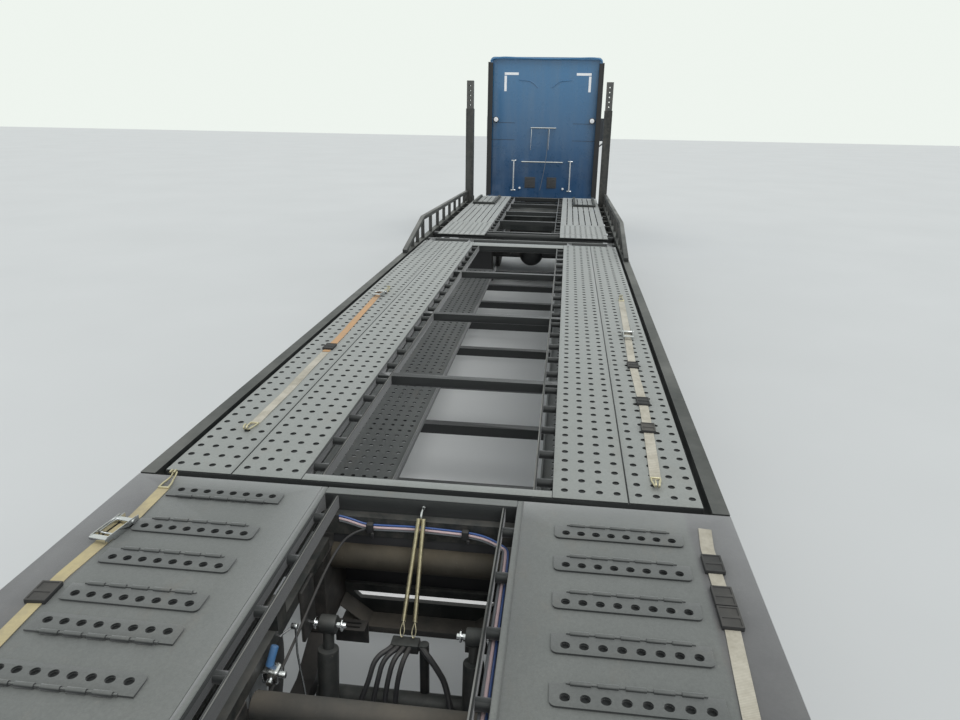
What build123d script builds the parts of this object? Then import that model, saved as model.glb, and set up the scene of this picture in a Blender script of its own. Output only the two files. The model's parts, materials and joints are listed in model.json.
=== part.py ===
from build123d import *
import os
from math import atan2, degrees

os.makedirs("parts", exist_ok=True)

# Sizes in mm. +X is the driving direction, +Y the driver's left, +Z up, the ground at Z = 0
# and the origin under the middle of the whole lorry.

# Overall layout along X
BUMPER_X = 11575
TAIL_X = -11575
STEER_AXLE_X = 10275
DRIVE_MID_X = 3675
DRIVE_SPREAD = 1320
TRAILER_MID_X = -8175
TRAILER_SPREAD = 1240
KINGPIN_X = 3675
NOSE_X = 4575
CAB_REAR_X = 6700
CAB_SPLIT_X = 8400
COWL_X = 9780

# Tyres and wheels
TYRE_R = 500
TYRE_WIDTH = 255
BEAD_R = 288
STEER_WHEEL_Y = 1040
STEER_PIVOT_Y = 880
TWIN_OUTER_Y = 1100
TWIN_INNER_Y = 770
HUB_R = 120
SPINDLE_R = 45
BEARING_GAP = 0.05
STEEL_T = 10

# Tractor chassis
RAIL_OUTER_Y = 432
RAIL_FLANGE = 85
RAIL_TOP_Z = 980
RAIL_DEPTH = 260
RAIL_WEB = 10
RAIL_FRONT_X = 11180
RAIL_REAR_X = 2300
AXLE_TUBE_R = 66

# Cab and sleeper
CAB_FLOOR_Z = 1080
CAB_HALF_W = 1120
SLEEPER_HALF_W = 1180
CAB_WALL = 40
CAB_HEADER_Z = 2880
ROOF_SEAM_Z = 2620
ROOF_TOP_Z = 3985
SCREEN_BASE_Z = 1990
SCREEN_TOP_X = 9340
SCREEN_TOP_Z = 2850
DOOR_GAP = 8
DOOR_REAR_X = 8520
DOOR_FRONT_X = 9600
DOOR_SILL_Z = 1180
DOOR_TOP_Z = 2760
DOOR_T = 60
DOOR_HINGE_Z = (1400, 1980)
DOOR_HINGE_X = DOOR_FRONT_X + DOOR_GAP / 2
DOOR_HINGE_Y = CAB_HALF_W + 4
DOOR_KNUCKLE_R = 12
DOOR_PIN_R = 6
GLASS_T = 12
SEAT_GAP = 0.3

# Hood and bumper
HOOD_PIVOT_X = 11520
HOOD_PIVOT_Z = 800
HOOD_KNUCKLE_R = 15
FENDER_HALF_W = 1215
ARCH_R = 610
BUMPER_TOP_Z = 780
BUMPER_LOW_Z = 330

# Towing eyes at both ends
TOW_EYE_R = 20
TOW_EYE_T = 25
FRONT_EYE = (11470, 385, 280)
TAIL_EYE = (-11520, 600, 1085)

# Trailer frame and decks
DECK_Z = 1320
PLATE_T = 8
DECK_HALF_W = 1295
SIDE_RAIL_W = 70
SIDE_RAIL_LOW_Z = 1120
COUPLER_T = 15
FIFTH_WHEEL_TOP_Z = SIDE_RAIL_LOW_Z - 0.3
LOWER_RAIL_TOP_Z = 530
LOWER_RAIL_DEPTH = 100
LOWER_FRONT_X = 1500
LOWER_REAR_X = -6480
REAR_JOINT_X = -7000
MID_HINGE_X = -435
MID_HALF_W = 1195
MID_TRACK_INNER_Y = 560
MID_RAIL_Y = 480
MID_FRONT_X = -700
DECK_GAP = 40
DECK_DEPTH = 70
HINGE_Z = 1270
FRONT_HINGE_X = 120
FRONT_HALF_W = 1135
FRONT_TRACK_INNER_Y = 500
REAR_TRACK_INNER_Y = 415
PIVOT_PIN_R = 20
POST_X = 3775
POST_Y = 1215
POST_SLEEVE = 135
POST_SLEEVE_TOP_Z = 2920
POST_TUBE = 115
POST_TOP_Z = 3385
POST_TUBE_LOW_Z = 1700
POST_SLIDE_GAP = 0.5

# Chock flaps of the rear deck
FLAP_PITCH = 212
FLAP_FIRST_X = -7190
FLAP_ROWS = 20
FLAP_DEPTH = 88
FLAP_T = 8
FLAP_INNER_Y = 575
FLAP_OUTER_Y = 1070
FLAPS_TURNED_FORWARD = (0, 4, 5)

# Lift cylinders of the middle deck
LIFT_FOOT = (-1500, 590)
LIFT_EYE = (-1700, 1170)
LIFT_Y = 1130
LIFT_BARREL_R = 50
LIFT_ROD_R = 30
LIFT_BARREL_LENGTH = 520
LIFT_PIN_R = 22
LIFT_EYE_PLAY = 3


def block(x0, x1, y0, y1, z0, z1, mode=Mode.ADD):
    """A box between two corners, in the part that is being built."""
    with Locations(((x0 + x1) / 2, (y0 + y1) / 2, (z0 + z1) / 2)):
        Box(x1 - x0, y1 - y0, z1 - z0, mode=mode)


def both_sides(x0, x1, y0, y1, z0, z1, mode=Mode.ADD):
    """The same box on the left and on the right."""
    block(x0, x1, y0, y1, z0, z1, mode)
    block(x0, x1, -y1, -y0, z0, z1, mode)


def side_profile(points, y0, y1, mode=Mode.ADD):
    """A profile of (x, z) points, extruded from y0 to y1."""
    with BuildSketch(Plane.XZ.offset(-y1)) as outline:
        with BuildLine():
            Polyline(*points, close=True)
        make_face()
    extrude(outline.sketch, amount=y1 - y0, mode=mode)


def rod_between(start, end, radius, mode=Mode.ADD):
    """A round bar from one point to another."""
    a, b = Vector(*start), Vector(*end)
    with BuildSketch(Plane(origin=a, z_dir=b - a)) as disc:
        Circle(radius)
    extrude(disc.sketch, amount=(b - a).length, mode=mode)


def turned(centre, profile, mode=Mode.ADD):
    """A solid of revolution about the Y direction through centre: profile holds (y, radius) points."""
    cx, cz = centre
    with BuildSketch(Plane(origin=(cx, 0, cz), x_dir=(0, 1, 0), z_dir=(1, 0, 0))) as outline:
        with BuildLine():
            Polyline(*profile, close=True)
        make_face()
    revolve(outline.sketch, axis=Axis((cx, 0, cz), (0, 1, 0)), mode=mode)


def tyre_profile(y, side):
    """Half section of one tyre, with a rounded shoulder, as (y, radius) points."""
    half = TYRE_WIDTH / 2
    return [
        (y - side * half * 0.72, BEAD_R),
        (y - side * half, BEAD_R + 70),
        (y - side * half, TYRE_R - 70),
        (y - side * half * 0.82, TYRE_R),
        (y + side * half * 0.82, TYRE_R),
        (y + side * half, TYRE_R - 70),
        (y + side * half, BEAD_R + 70),
        (y + side * half * 0.72, BEAD_R),
    ]


# Chassis of the tractor: two channel rails, cross members and the deck plate behind the cab

rail_low_z = RAIL_TOP_Z - RAIL_DEPTH
rail_inner_y = RAIL_OUTER_Y - RAIL_FLANGE
with BuildPart() as chassis_frame:
    both_sides(RAIL_REAR_X, RAIL_FRONT_X, rail_inner_y, RAIL_OUTER_Y, rail_low_z, RAIL_TOP_Z)
    both_sides(RAIL_REAR_X, RAIL_FRONT_X, rail_inner_y, RAIL_OUTER_Y - RAIL_WEB,
               rail_low_z + RAIL_WEB, RAIL_TOP_Z - RAIL_WEB, Mode.SUBTRACT)
    for member_x in (2300, 3000, 4300, 5300, 6600, 8300, 11080):
        block(member_x, member_x + 100, 1 - RAIL_OUTER_Y, RAIL_OUTER_Y - 1, rail_low_z + 40, RAIL_TOP_Z - 40)
    block(5150, 6600, -620, 620, RAIL_TOP_Z, RAIL_TOP_Z + 12)
    both_sides(2300, 2340, RAIL_OUTER_Y - 1, 1200, 880, 920)
chassis_frame.part.label = "chassis_frame"
export_step(chassis_frame.part, "parts/chassis_frame.step")

# Fifth wheel: a greased plate with its throat, on two side brackets

kingpin_r = 25.4
with BuildPart() as fifth_wheel:
    with BuildSketch(Plane.XY.offset(FIFTH_WHEEL_TOP_Z - 45)) as plate_outline:
        with Locations((KINGPIN_X, 0)):
            Circle(480)
        with Locations((KINGPIN_X - 480, 0)):
            Rectangle(420, 700)
        with BuildLine():
            Polyline((KINGPIN_X, kingpin_r + 0.3), (KINGPIN_X - 300, 120), (KINGPIN_X - 760, 190),
                     (KINGPIN_X - 760, -190), (KINGPIN_X - 300, -120), (KINGPIN_X, -kingpin_r - 0.3), close=True)
        make_face(mode=Mode.SUBTRACT)
        with Locations((KINGPIN_X, 0)):
            Circle(kingpin_r + 0.3, mode=Mode.SUBTRACT)
    extrude(amount=45)
    both_sides(KINGPIN_X - 180, KINGPIN_X + 180, 300, RAIL_OUTER_Y, RAIL_TOP_Z, FIFTH_WHEEL_TOP_Z - 40)
    both_sides(KINGPIN_X - 420, KINGPIN_X + 420, rail_inner_y, RAIL_OUTER_Y, RAIL_TOP_Z, RAIL_TOP_Z + 14)
fifth_wheel.part.label = "fifth_wheel"
export_step(fifth_wheel.part, "parts/fifth_wheel.step")

# Front axle: dropped beam with a vertical boss at each end, on leaf springs under the rails

beam_z = 430
boss_r = 48
pivot_r = 22
pivot_half = 110
spring_y = rail_inner_y + 43
with BuildPart() as front_axle:
    block(STEER_AXLE_X - 45, STEER_AXLE_X + 45, -620, 620, beam_z - 60, beam_z + 40)
    for side in (1, -1):
        with BuildSketch(Plane.YZ.offset(STEER_AXLE_X - 45)) as drop:
            with BuildLine():
                Polyline((side * 600, beam_z - 60), (side * 830, TYRE_R - 60), (side * 850, TYRE_R - 60),
                         (side * 850, TYRE_R + 60), (side * 780, TYRE_R + 60), (side * 600, beam_z + 40), close=True)
            make_face()
        extrude(drop.sketch, amount=90)
        rod_between((STEER_AXLE_X, side * STEER_PIVOT_Y, TYRE_R - 60),
                    (STEER_AXLE_X, side * STEER_PIVOT_Y, TYRE_R + 60), boss_r)
        rod_between((STEER_AXLE_X, side * STEER_PIVOT_Y, TYRE_R - pivot_half),
                    (STEER_AXLE_X, side * STEER_PIVOT_Y, TYRE_R + pivot_half), pivot_r)
        block(STEER_AXLE_X - 100, STEER_AXLE_X + 100, side * spring_y - 42, side * spring_y + 42, beam_z + 40,
              beam_z + 110)
        side_profile([(9560, 640), (9620, 590), (STEER_AXLE_X - 300, 520), (STEER_AXLE_X + 300, 520), (10930, 590),
                      (10990, 640), (10930, 640), (STEER_AXLE_X + 300, 570), (STEER_AXLE_X - 300, 570), (9620, 640)],
                     side * spring_y - 38, side * spring_y + 38)
        block(9540, 9640, side * spring_y - 38, side * spring_y + 38, 620, rail_low_z)
        block(10910, 11010, side * spring_y - 38, side * spring_y + 38, 620, rail_low_z)
front_axle.part.label = "front_axle"
export_step(front_axle.part, "parts/front_axle.step")

# Steering knuckles: a yoke round the boss and a stub spindle for the wheel

for side, tag in ((1, "left"), (-1, "right")):
    with BuildPart() as knuckle:
        for ear_z0, ear_z1 in ((TYRE_R - pivot_half, TYRE_R - 62), (TYRE_R + 62, TYRE_R + pivot_half)):
            rod_between((STEER_AXLE_X, side * STEER_PIVOT_Y, ear_z0), (STEER_AXLE_X, side * STEER_PIVOT_Y, ear_z1), 46)
            y_near, y_far = sorted((side * STEER_PIVOT_Y, side * (STEER_PIVOT_Y + 75)))
            block(STEER_AXLE_X - 46, STEER_AXLE_X + 46, y_near, y_far, ear_z0, ear_z1)
        y_near, y_far = sorted((side * (STEER_PIVOT_Y + 55), side * (STEER_PIVOT_Y + 80)))
        block(STEER_AXLE_X - 60, STEER_AXLE_X + 60, y_near, y_far, TYRE_R - pivot_half, TYRE_R + pivot_half)
        rod_between((STEER_AXLE_X, side * (STEER_PIVOT_Y + 70), TYRE_R),
                    (STEER_AXLE_X, side * (STEER_WHEEL_Y + 90), TYRE_R), SPINDLE_R)
        rod_between((STEER_AXLE_X, side * STEER_PIVOT_Y, TYRE_R - pivot_half - 1),
                    (STEER_AXLE_X, side * STEER_PIVOT_Y, TYRE_R + pivot_half + 1), pivot_r + BEARING_GAP, Mode.SUBTRACT)
    knuckle.part.label = f"knuckle_{tag}"
    export_step(knuckle.part, f"parts/knuckle_{tag}.step")

# Steered wheels: one tyre, one dished disc wheel with its hub

for side, tag in ((1, "left"), (-1, "right")):
    with BuildPart() as tyre:
        turned((STEER_AXLE_X, TYRE_R), tyre_profile(side * STEER_WHEEL_Y, side))
    tyre.part.label = f"front_tyre_{tag}"
    export_step(tyre.part, f"parts/front_tyre_{tag}.step")
    rim_half = TYRE_WIDTH / 2 - 12
    with BuildPart() as wheel:
        turned((STEER_AXLE_X, TYRE_R), [
            (side * (STEER_WHEEL_Y - rim_half), BEAD_R - SEAT_GAP),
            (side * (STEER_WHEEL_Y + rim_half), BEAD_R - SEAT_GAP),
            (side * (STEER_WHEEL_Y + rim_half), BEAD_R - 18),
            (side * (STEER_WHEEL_Y + 60), BEAD_R - 30),
            (side * (STEER_WHEEL_Y + 95), 175),
            (side * (STEER_WHEEL_Y + 95), HUB_R),
            (side * (STEER_WHEEL_Y + 125), HUB_R - 30),
            (side * (STEER_WHEEL_Y + 125), 0),
            (side * (STEER_WHEEL_Y + 92), 0),
            (side * (STEER_WHEEL_Y + 92), SPINDLE_R + BEARING_GAP),
            (side * (STEER_WHEEL_Y - 70), SPINDLE_R + BEARING_GAP),
            (side * (STEER_WHEEL_Y - 70), HUB_R),
            (side * (STEER_WHEEL_Y + 80), HUB_R),
            (side * (STEER_WHEEL_Y + 80), 165),
            (side * (STEER_WHEEL_Y + 45), BEAD_R - 42),
            (side * (STEER_WHEEL_Y - rim_half), BEAD_R - 18),
        ])
    wheel.part.label = f"front_wheel_{tag}"
    export_step(wheel.part, f"parts/front_wheel_{tag}.step")

# Twin wheels of the drive and trailer axles: two tyres, two rims joined at the hub

drive_axle_x = (DRIVE_MID_X + DRIVE_SPREAD / 2, DRIVE_MID_X - DRIVE_SPREAD / 2)
trailer_axle_x = (TRAILER_MID_X + TRAILER_SPREAD / 2, TRAILER_MID_X - TRAILER_SPREAD / 2)
twin_mid_y = (TWIN_OUTER_Y + TWIN_INNER_Y) / 2
twin_stations = [("drive_1", drive_axle_x[0]), ("drive_2", drive_axle_x[1]),
                 ("trailer_1", trailer_axle_x[0]), ("trailer_2", trailer_axle_x[1])]
for station, axle_x in twin_stations:
    for side, tag in ((1, "left"), (-1, "right")):
        with BuildPart() as tyres:
            turned((axle_x, TYRE_R), tyre_profile(side * TWIN_OUTER_Y, side))
            turned((axle_x, TYRE_R), tyre_profile(side * TWIN_INNER_Y, side))
        tyres.part.label = f"{station}_tyres_{tag}"
        export_step(tyres.part, f"parts/{station}_tyres_{tag}.step")
        rim_half = TYRE_WIDTH / 2 - 12
        rim_in = BEAD_R - 20
        with BuildPart() as wheels:
            turned((axle_x, TYRE_R), [
                (side * (TWIN_INNER_Y - rim_half), BEAD_R - SEAT_GAP),
                (side * (TWIN_OUTER_Y + rim_half), BEAD_R - SEAT_GAP),
                (side * (TWIN_OUTER_Y + rim_half), rim_in),
                (side * (twin_mid_y + 15), rim_in - 25),
                (side * (twin_mid_y + 15), HUB_R),
                (side * (TWIN_OUTER_Y + 10), HUB_R),
                (side * (TWIN_OUTER_Y + 25), HUB_R - 25),
                (side * (TWIN_OUTER_Y + 25), 0),
                (side * (twin_mid_y + 60), 0),
                (side * (twin_mid_y + 60), SPINDLE_R + BEARING_GAP),
                (side * (TWIN_INNER_Y - 60), SPINDLE_R + BEARING_GAP),
                (side * (TWIN_INNER_Y - 60), 205),
                (side * (twin_mid_y - 15), 205),
                (side * (twin_mid_y - 15), rim_in - 25),
                (side * (TWIN_INNER_Y - rim_half), rim_in),
            ])
        wheels.part.label = f"{station}_wheels_{tag}"
        export_step(wheels.part, f"parts/{station}_wheels_{tag}.step")


def axle_with_spindles(x):
    """A straight axle tube with a spindle at each end, up to the inside of the hubs."""
    rod_between((x, -TWIN_INNER_Y + 65, TYRE_R), (x, TWIN_INNER_Y - 65, TYRE_R), AXLE_TUBE_R)
    rod_between((x, -twin_mid_y - 55, TYRE_R), (x, twin_mid_y + 55, TYRE_R), SPINDLE_R)


# Drive axles: housings with the differential, air springs on trailing beams, and the drive shaft

with BuildPart() as drive_axles:
    for axle_x in drive_axle_x:
        axle_with_spindles(axle_x)
        with Locations((axle_x, 0, TYRE_R)):
            Sphere(205)
        for side in (1, -1):
            beam_y = side * (RAIL_OUTER_Y - 45)
            block(axle_x - 330, axle_x + 260, beam_y - 45, beam_y + 45, TYRE_R + 40, TYRE_R + 90)
            rod_between((axle_x - 260, beam_y, TYRE_R + 90), (axle_x - 260, beam_y, rail_low_z), 44)
            block(axle_x + 200, axle_x + 260, beam_y - 40, beam_y + 40, TYRE_R + 80, rail_low_z)
    rod_between((drive_axle_x[1], 0, TYRE_R + 60), (drive_axle_x[0], 0, TYRE_R + 60), 48)
    rod_between((drive_axle_x[0], 0, TYRE_R + 60), (8985, 0, 690), 48)
drive_axles.part.label = "drive_axles"
export_step(drive_axles.part, "parts/drive_axles.step")

# Engine with gearbox as one plain mass, and the radiator in front of it

with BuildPart() as engine_and_radiator:
    block(9900, 11000, -320, 320, 760, 1560)
    block(9000, 9900, -200, 200, 640, 1000)
    block(11085, 11160, -420, 420, RAIL_TOP_Z, 1560)
    block(11000, 11085, -150, 150, 1000, 1300)
engine_and_radiator.part.label = "engine_and_radiator"
export_step(engine_and_radiator.part, "parts/engine_and_radiator.step")

# Fuel tanks, one each side, strapped to the rails

TANK_R = 290
TANK_Y = 830
TANK_Z = 690
TANK_REAR_X = 6950
TANK_FRONT_X = 8500
with BuildPart() as fuel_tanks:
    for side in (1, -1):
        rod_between((TANK_REAR_X, side * TANK_Y, TANK_Z), (TANK_FRONT_X, side * TANK_Y, TANK_Z), TANK_R)
        for strap_x in (TANK_REAR_X + 250, TANK_FRONT_X - 330):
            rod_between((strap_x, side * TANK_Y, TANK_Z), (strap_x + 80, side * TANK_Y, TANK_Z), TANK_R + 6)
            y_near, y_far = sorted((side * RAIL_OUTER_Y, side * (TANK_Y - 200)))
            block(strap_x, strap_x + 80, y_near, y_far, TANK_Z - 60, TANK_Z + 240)
fuel_tanks.part.label = "fuel_tanks"
export_step(fuel_tanks.part, "parts/fuel_tanks.step")

# Painted side fairings below the cab, with two step openings ahead of the tank

FAIRING_Y = 1185
with BuildPart() as side_fairings:
    for side in (1, -1):
        y_near, y_far = sorted((side * FAIRING_Y, side * (FAIRING_Y + 28)))
        block(6760, 9600, y_near, y_far, 340, CAB_FLOOR_Z - 2)
        for step_z in (480, 780):
            block(8750, 9450, y_near - 1, y_far + 1, step_z, step_z + 210, Mode.SUBTRACT)
        y_near, y_far = sorted((side * 900, side * (FAIRING_Y + 20)))
        for tread_z in (440, 740):
            block(8720, 9480, y_near, y_far, tread_z, tread_z + 40)
        block(8700, 8730, y_near, y_far, 440, CAB_FLOOR_Z - 20)
        block(9470, 9500, y_near, y_far, 440, CAB_FLOOR_Z - 20)
        y_near, y_far = sorted((side * (RAIL_OUTER_Y), side * (FAIRING_Y + 20)))
        block(8700, 8730, y_near, y_far, 900, RAIL_TOP_Z - 10)
        block(9470, 9500, y_near, y_far, 900, RAIL_TOP_Z - 10)
        y_near, y_far = sorted((side * 1050, side * (FAIRING_Y + 10)))
        block(6760, 9600, y_near, y_far, CAB_FLOOR_Z - 20, CAB_FLOOR_Z)
side_fairings.part.label = "side_fairings"
export_step(side_fairings.part, "parts/side_fairings.step")

# Front bumper, wrapped round to the wheel openings

with BuildPart() as front_bumper:
    with BuildSketch(Plane.XY.offset(BUMPER_LOW_Z)) as bumper_plan:
        with BuildLine():
            Polyline((BUMPER_X, -700), (BUMPER_X, 700), (BUMPER_X - 130, 1100), (BUMPER_X - 420, 1215),
                     (10930, 1215), (10930, 1170), (BUMPER_X - 430, 1150), (BUMPER_X - 180, 1040),
                     (BUMPER_X - 60, 660), (BUMPER_X - 60, -660), (BUMPER_X - 180, -1040),
                     (BUMPER_X - 430, -1150), (10930, -1170), (10930, -1215), (BUMPER_X - 420, -1215),
                     (BUMPER_X - 130, -1100), close=True)
        make_face()
    extrude(amount=BUMPER_TOP_Z - BUMPER_LOW_Z)
    both_sides(RAIL_FRONT_X, BUMPER_X - 55, rail_inner_y, RAIL_OUTER_Y - RAIL_WEB, 560, 700)
    both_sides(RAIL_FRONT_X - 60, RAIL_FRONT_X + 40, rail_inner_y, RAIL_OUTER_Y - RAIL_WEB, 560, rail_low_z)
    # Towing eyes below the bumper
    for side in (1, -1):
        eye_x, eye_y, eye_z = FRONT_EYE
        y_near, y_far = side * eye_y - TOW_EYE_T / 2, side * eye_y + TOW_EYE_T / 2
        block(eye_x - 45, eye_x + 45, y_near, y_far, eye_z, 570)
        rod_between((eye_x, y_near, eye_z), (eye_x, y_far, eye_z), 45)
        rod_between((eye_x, y_near - 1, eye_z), (eye_x, y_far + 1, eye_z), TOW_EYE_R, Mode.SUBTRACT)
    # Hinge ears of the hood
    for ear_y in (420, 560):
        both_sides(HOOD_PIVOT_X - 35, HOOD_PIVOT_X + 35, ear_y, ear_y + 20, BUMPER_TOP_Z - 60, HOOD_PIVOT_Z + 25)
    for side in (1, -1):
        rod_between((HOOD_PIVOT_X, side * 410, HOOD_PIVOT_Z), (HOOD_PIVOT_X, side * 590, HOOD_PIVOT_Z), 12)
front_bumper.part.label = "front_bumper"
export_step(front_bumper.part, "parts/front_bumper.step")

# Cab: floor, firewall, side walls with door openings, screen opening, open to the sleeper

screen_dx = COWL_X - SCREEN_TOP_X
screen_dz = SCREEN_TOP_Z - SCREEN_BASE_Z
screen_len = (screen_dx**2 + screen_dz**2) ** 0.5
door_outline = [(DOOR_REAR_X, DOOR_SILL_Z), (DOOR_FRONT_X, DOOR_SILL_Z), (DOOR_FRONT_X, 2060),
                (9250, DOOR_TOP_Z), (DOOR_REAR_X, DOOR_TOP_Z)]
window_outline = [(8610, 2060), (9480, 2060), (9170, 2670), (8610, 2670)]


def grown(points, gap):
    """The outline moved outwards by gap, for points that go round a convex outline."""
    middle_x = sum(p[0] for p in points) / len(points)
    middle_z = sum(p[1] for p in points) / len(points)
    return [(x + (gap if x > middle_x else -gap), z + (gap if z > middle_z else -gap)) for x, z in points]


cab_side = [(CAB_SPLIT_X, CAB_FLOOR_Z), (COWL_X, CAB_FLOOR_Z), (COWL_X, SCREEN_BASE_Z), (SCREEN_TOP_X, SCREEN_TOP_Z),
            (SCREEN_TOP_X - 60, CAB_HEADER_Z), (CAB_SPLIT_X, CAB_HEADER_Z)]
cab_inside = [(CAB_SPLIT_X - 1, CAB_FLOOR_Z + CAB_WALL), (COWL_X - CAB_WALL, CAB_FLOOR_Z + CAB_WALL),
              (COWL_X - CAB_WALL, SCREEN_BASE_Z - 14), (SCREEN_TOP_X - CAB_WALL, SCREEN_TOP_Z - 14),
              (SCREEN_TOP_X - 90, CAB_HEADER_Z - CAB_WALL), (8800, CAB_HEADER_Z - CAB_WALL),
              (8800, CAB_HEADER_Z + 1), (CAB_SPLIT_X - 1, CAB_HEADER_Z + 1)]
screen_plane = Plane(origin=((COWL_X + SCREEN_TOP_X) / 2, 0, (SCREEN_BASE_Z + SCREEN_TOP_Z) / 2),
                     x_dir=(0, 1, 0), z_dir=(screen_dz, 0, screen_dx))
SCREEN_HALF_W = 960
with BuildPart() as cab_shell:
    side_profile(cab_side, -CAB_HALF_W, CAB_HALF_W)
    side_profile(cab_inside, -CAB_HALF_W + CAB_WALL, CAB_HALF_W - CAB_WALL, Mode.SUBTRACT)
    side_profile(grown(door_outline, DOOR_GAP), -CAB_HALF_W - 1, CAB_HALF_W + 1, Mode.SUBTRACT)
    with BuildSketch(screen_plane) as screen_hole:
        Rectangle(2 * SCREEN_HALF_W, screen_len - 130)
    extrude(screen_hole.sketch, amount=90, both=True, mode=Mode.SUBTRACT)
    both_sides(8500, 8600, 300, RAIL_OUTER_Y, RAIL_TOP_Z, CAB_FLOOR_Z)
    both_sides(9600, 9700, 300, RAIL_OUTER_Y, RAIL_TOP_Z, CAB_FLOOR_Z)
    for side in (1, -1):
        for hinge_z in DOOR_HINGE_Z:
            hinge_line = [(DOOR_HINGE_X, side * DOOR_HINGE_Y, hinge_z + dz) for dz in (-66, -36, 36, 66)]
            rod_between(hinge_line[0], hinge_line[3], DOOR_KNUCKLE_R + 1.5, Mode.SUBTRACT)
            rod_between(hinge_line[0], hinge_line[1], DOOR_KNUCKLE_R + 2)
            rod_between(hinge_line[2], hinge_line[3], DOOR_KNUCKLE_R + 2)
            rod_between(hinge_line[0], hinge_line[3], DOOR_PIN_R)
cab_shell.part.label = "cab_shell"
export_step(cab_shell.part, "parts/cab_shell.step")

# Sleeper: floor, side walls and rear wall up to the seam of the roof cap

with BuildPart() as sleeper_shell:
    block(CAB_REAR_X, CAB_SPLIT_X, -SLEEPER_HALF_W, SLEEPER_HALF_W, CAB_FLOOR_Z, ROOF_SEAM_Z)
    block(CAB_REAR_X + CAB_WALL, CAB_SPLIT_X + 1, CAB_WALL - SLEEPER_HALF_W, SLEEPER_HALF_W - CAB_WALL,
          CAB_FLOOR_Z + CAB_WALL, ROOF_SEAM_Z + 1, Mode.SUBTRACT)
    both_sides(6850, 6950, 300, RAIL_OUTER_Y, RAIL_TOP_Z, CAB_FLOOR_Z)
sleeper_shell.part.label = "sleeper_shell"
export_step(sleeper_shell.part, "parts/sleeper_shell.step")

# High roof cap over sleeper and cab, hollow and open below

roof_side = [(CAB_REAR_X, ROOF_SEAM_Z), (CAB_SPLIT_X, ROOF_SEAM_Z), (CAB_SPLIT_X, CAB_HEADER_Z),
             (SCREEN_TOP_X - 60, CAB_HEADER_Z), (9180, 3060), (8900, 3480), (8500, 3800), (8050, 3930),
             (7400, ROOF_TOP_Z - 10), (CAB_REAR_X, ROOF_TOP_Z - 15)]
roof_inside = [(CAB_REAR_X + CAB_WALL, ROOF_SEAM_Z - 1), (CAB_SPLIT_X - CAB_WALL, ROOF_SEAM_Z - 1),
               (CAB_SPLIT_X - CAB_WALL, CAB_HEADER_Z - 1), (8790, CAB_HEADER_Z - 1), (8790, 3400),
               (8470, 3755), (8040, 3885), (7400, ROOF_TOP_Z - 60), (CAB_REAR_X + CAB_WALL, ROOF_TOP_Z - 65)]
with BuildPart() as roof_cap:
    side_profile(roof_side, -SLEEPER_HALF_W, SLEEPER_HALF_W)
    side_profile(roof_inside, CAB_WALL - CAB_HALF_W, CAB_HALF_W - CAB_WALL, Mode.SUBTRACT)
roof_cap.part.label = "roof_cap"
export_step(roof_cap.part, "parts/roof_cap.step")

# Windscreen

with BuildPart() as cab_glass:
    with BuildSketch(screen_plane.offset(-GLASS_T - 8)) as pane:
        Rectangle(2 * (SCREEN_HALF_W - SEAT_GAP), screen_len - 130 - 2 * SEAT_GAP)
    extrude(pane.sketch, amount=GLASS_T)
cab_glass.part.label = "cab_glass"
export_step(cab_glass.part, "parts/cab_glass.step")

# Dashboard with the steering column and wheel

WHEEL_CENTRE = (9180, 520, 1890)
with BuildPart() as dashboard:
    side_profile([(COWL_X - CAB_WALL, 1500), (COWL_X - CAB_WALL, 1960), (9560, 1960), (9400, 1900), (9400, 1700),
                  (9520, 1500)], CAB_WALL - CAB_HALF_W + 30, CAB_HALF_W - CAB_WALL - 30)
    column_dir = Vector(-0.85, 0, 0.53)
    wheel_plane = Plane(origin=WHEEL_CENTRE, z_dir=column_dir)
    with Locations(wheel_plane):
        Torus(215, 16)
        Cylinder(45, 30)
        Box(400, 26, 12)
        Box(26, 400, 12)
    rod_between((9480, WHEEL_CENTRE[1], 1705), WHEEL_CENTRE, 28)
dashboard.part.label = "dashboard"
export_step(dashboard.part, "parts/dashboard.step")

# Two seats and the bunk mattress

cabin_floor_z = CAB_FLOOR_Z + CAB_WALL
with BuildPart() as seats_and_bunk:
    for side in (1, -1):
        seat_y = side * WHEEL_CENTRE[1]
        block(8560, 8960, seat_y - 170, seat_y + 170, cabin_floor_z, 1500)
        block(8500, 9030, seat_y - 250, seat_y + 250, 1500, 1640)
        side_profile([(8480, 1640), (8640, 1640), (8520, 2330), (8400, 2330)], seat_y - 240, seat_y + 240)
    block(CAB_REAR_X + CAB_WALL, 7560, -1100, 1100, cabin_floor_z, 1560)
    block(CAB_REAR_X + CAB_WALL, 7560, -1090, 1090, 1560, 1740)
seats_and_bunk.part.label = "seats_and_bunk"
export_step(seats_and_bunk.part, "parts/seats_and_bunk.step")

# Rubber-edged side extenders at the rear corners of the sleeper, and the mud flaps

with BuildPart() as extenders_and_mudflaps:
    for side in (1, -1):
        y_near, y_far = sorted((side * (SLEEPER_HALF_W), side * (SLEEPER_HALF_W + 30)))
        block(CAB_REAR_X - 120, CAB_REAR_X + 300, y_near, y_far, CAB_FLOOR_Z + 20, 3860)
    both_sides(2304, 2316, 640, 1200, 260, 880)
extenders_and_mudflaps.part.label = "extenders_and_mudflaps"
export_step(extenders_and_mudflaps.part, "parts/extenders_and_mudflaps.step")

# Fittings on the rear wall: grab bars and round work lamps

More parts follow.
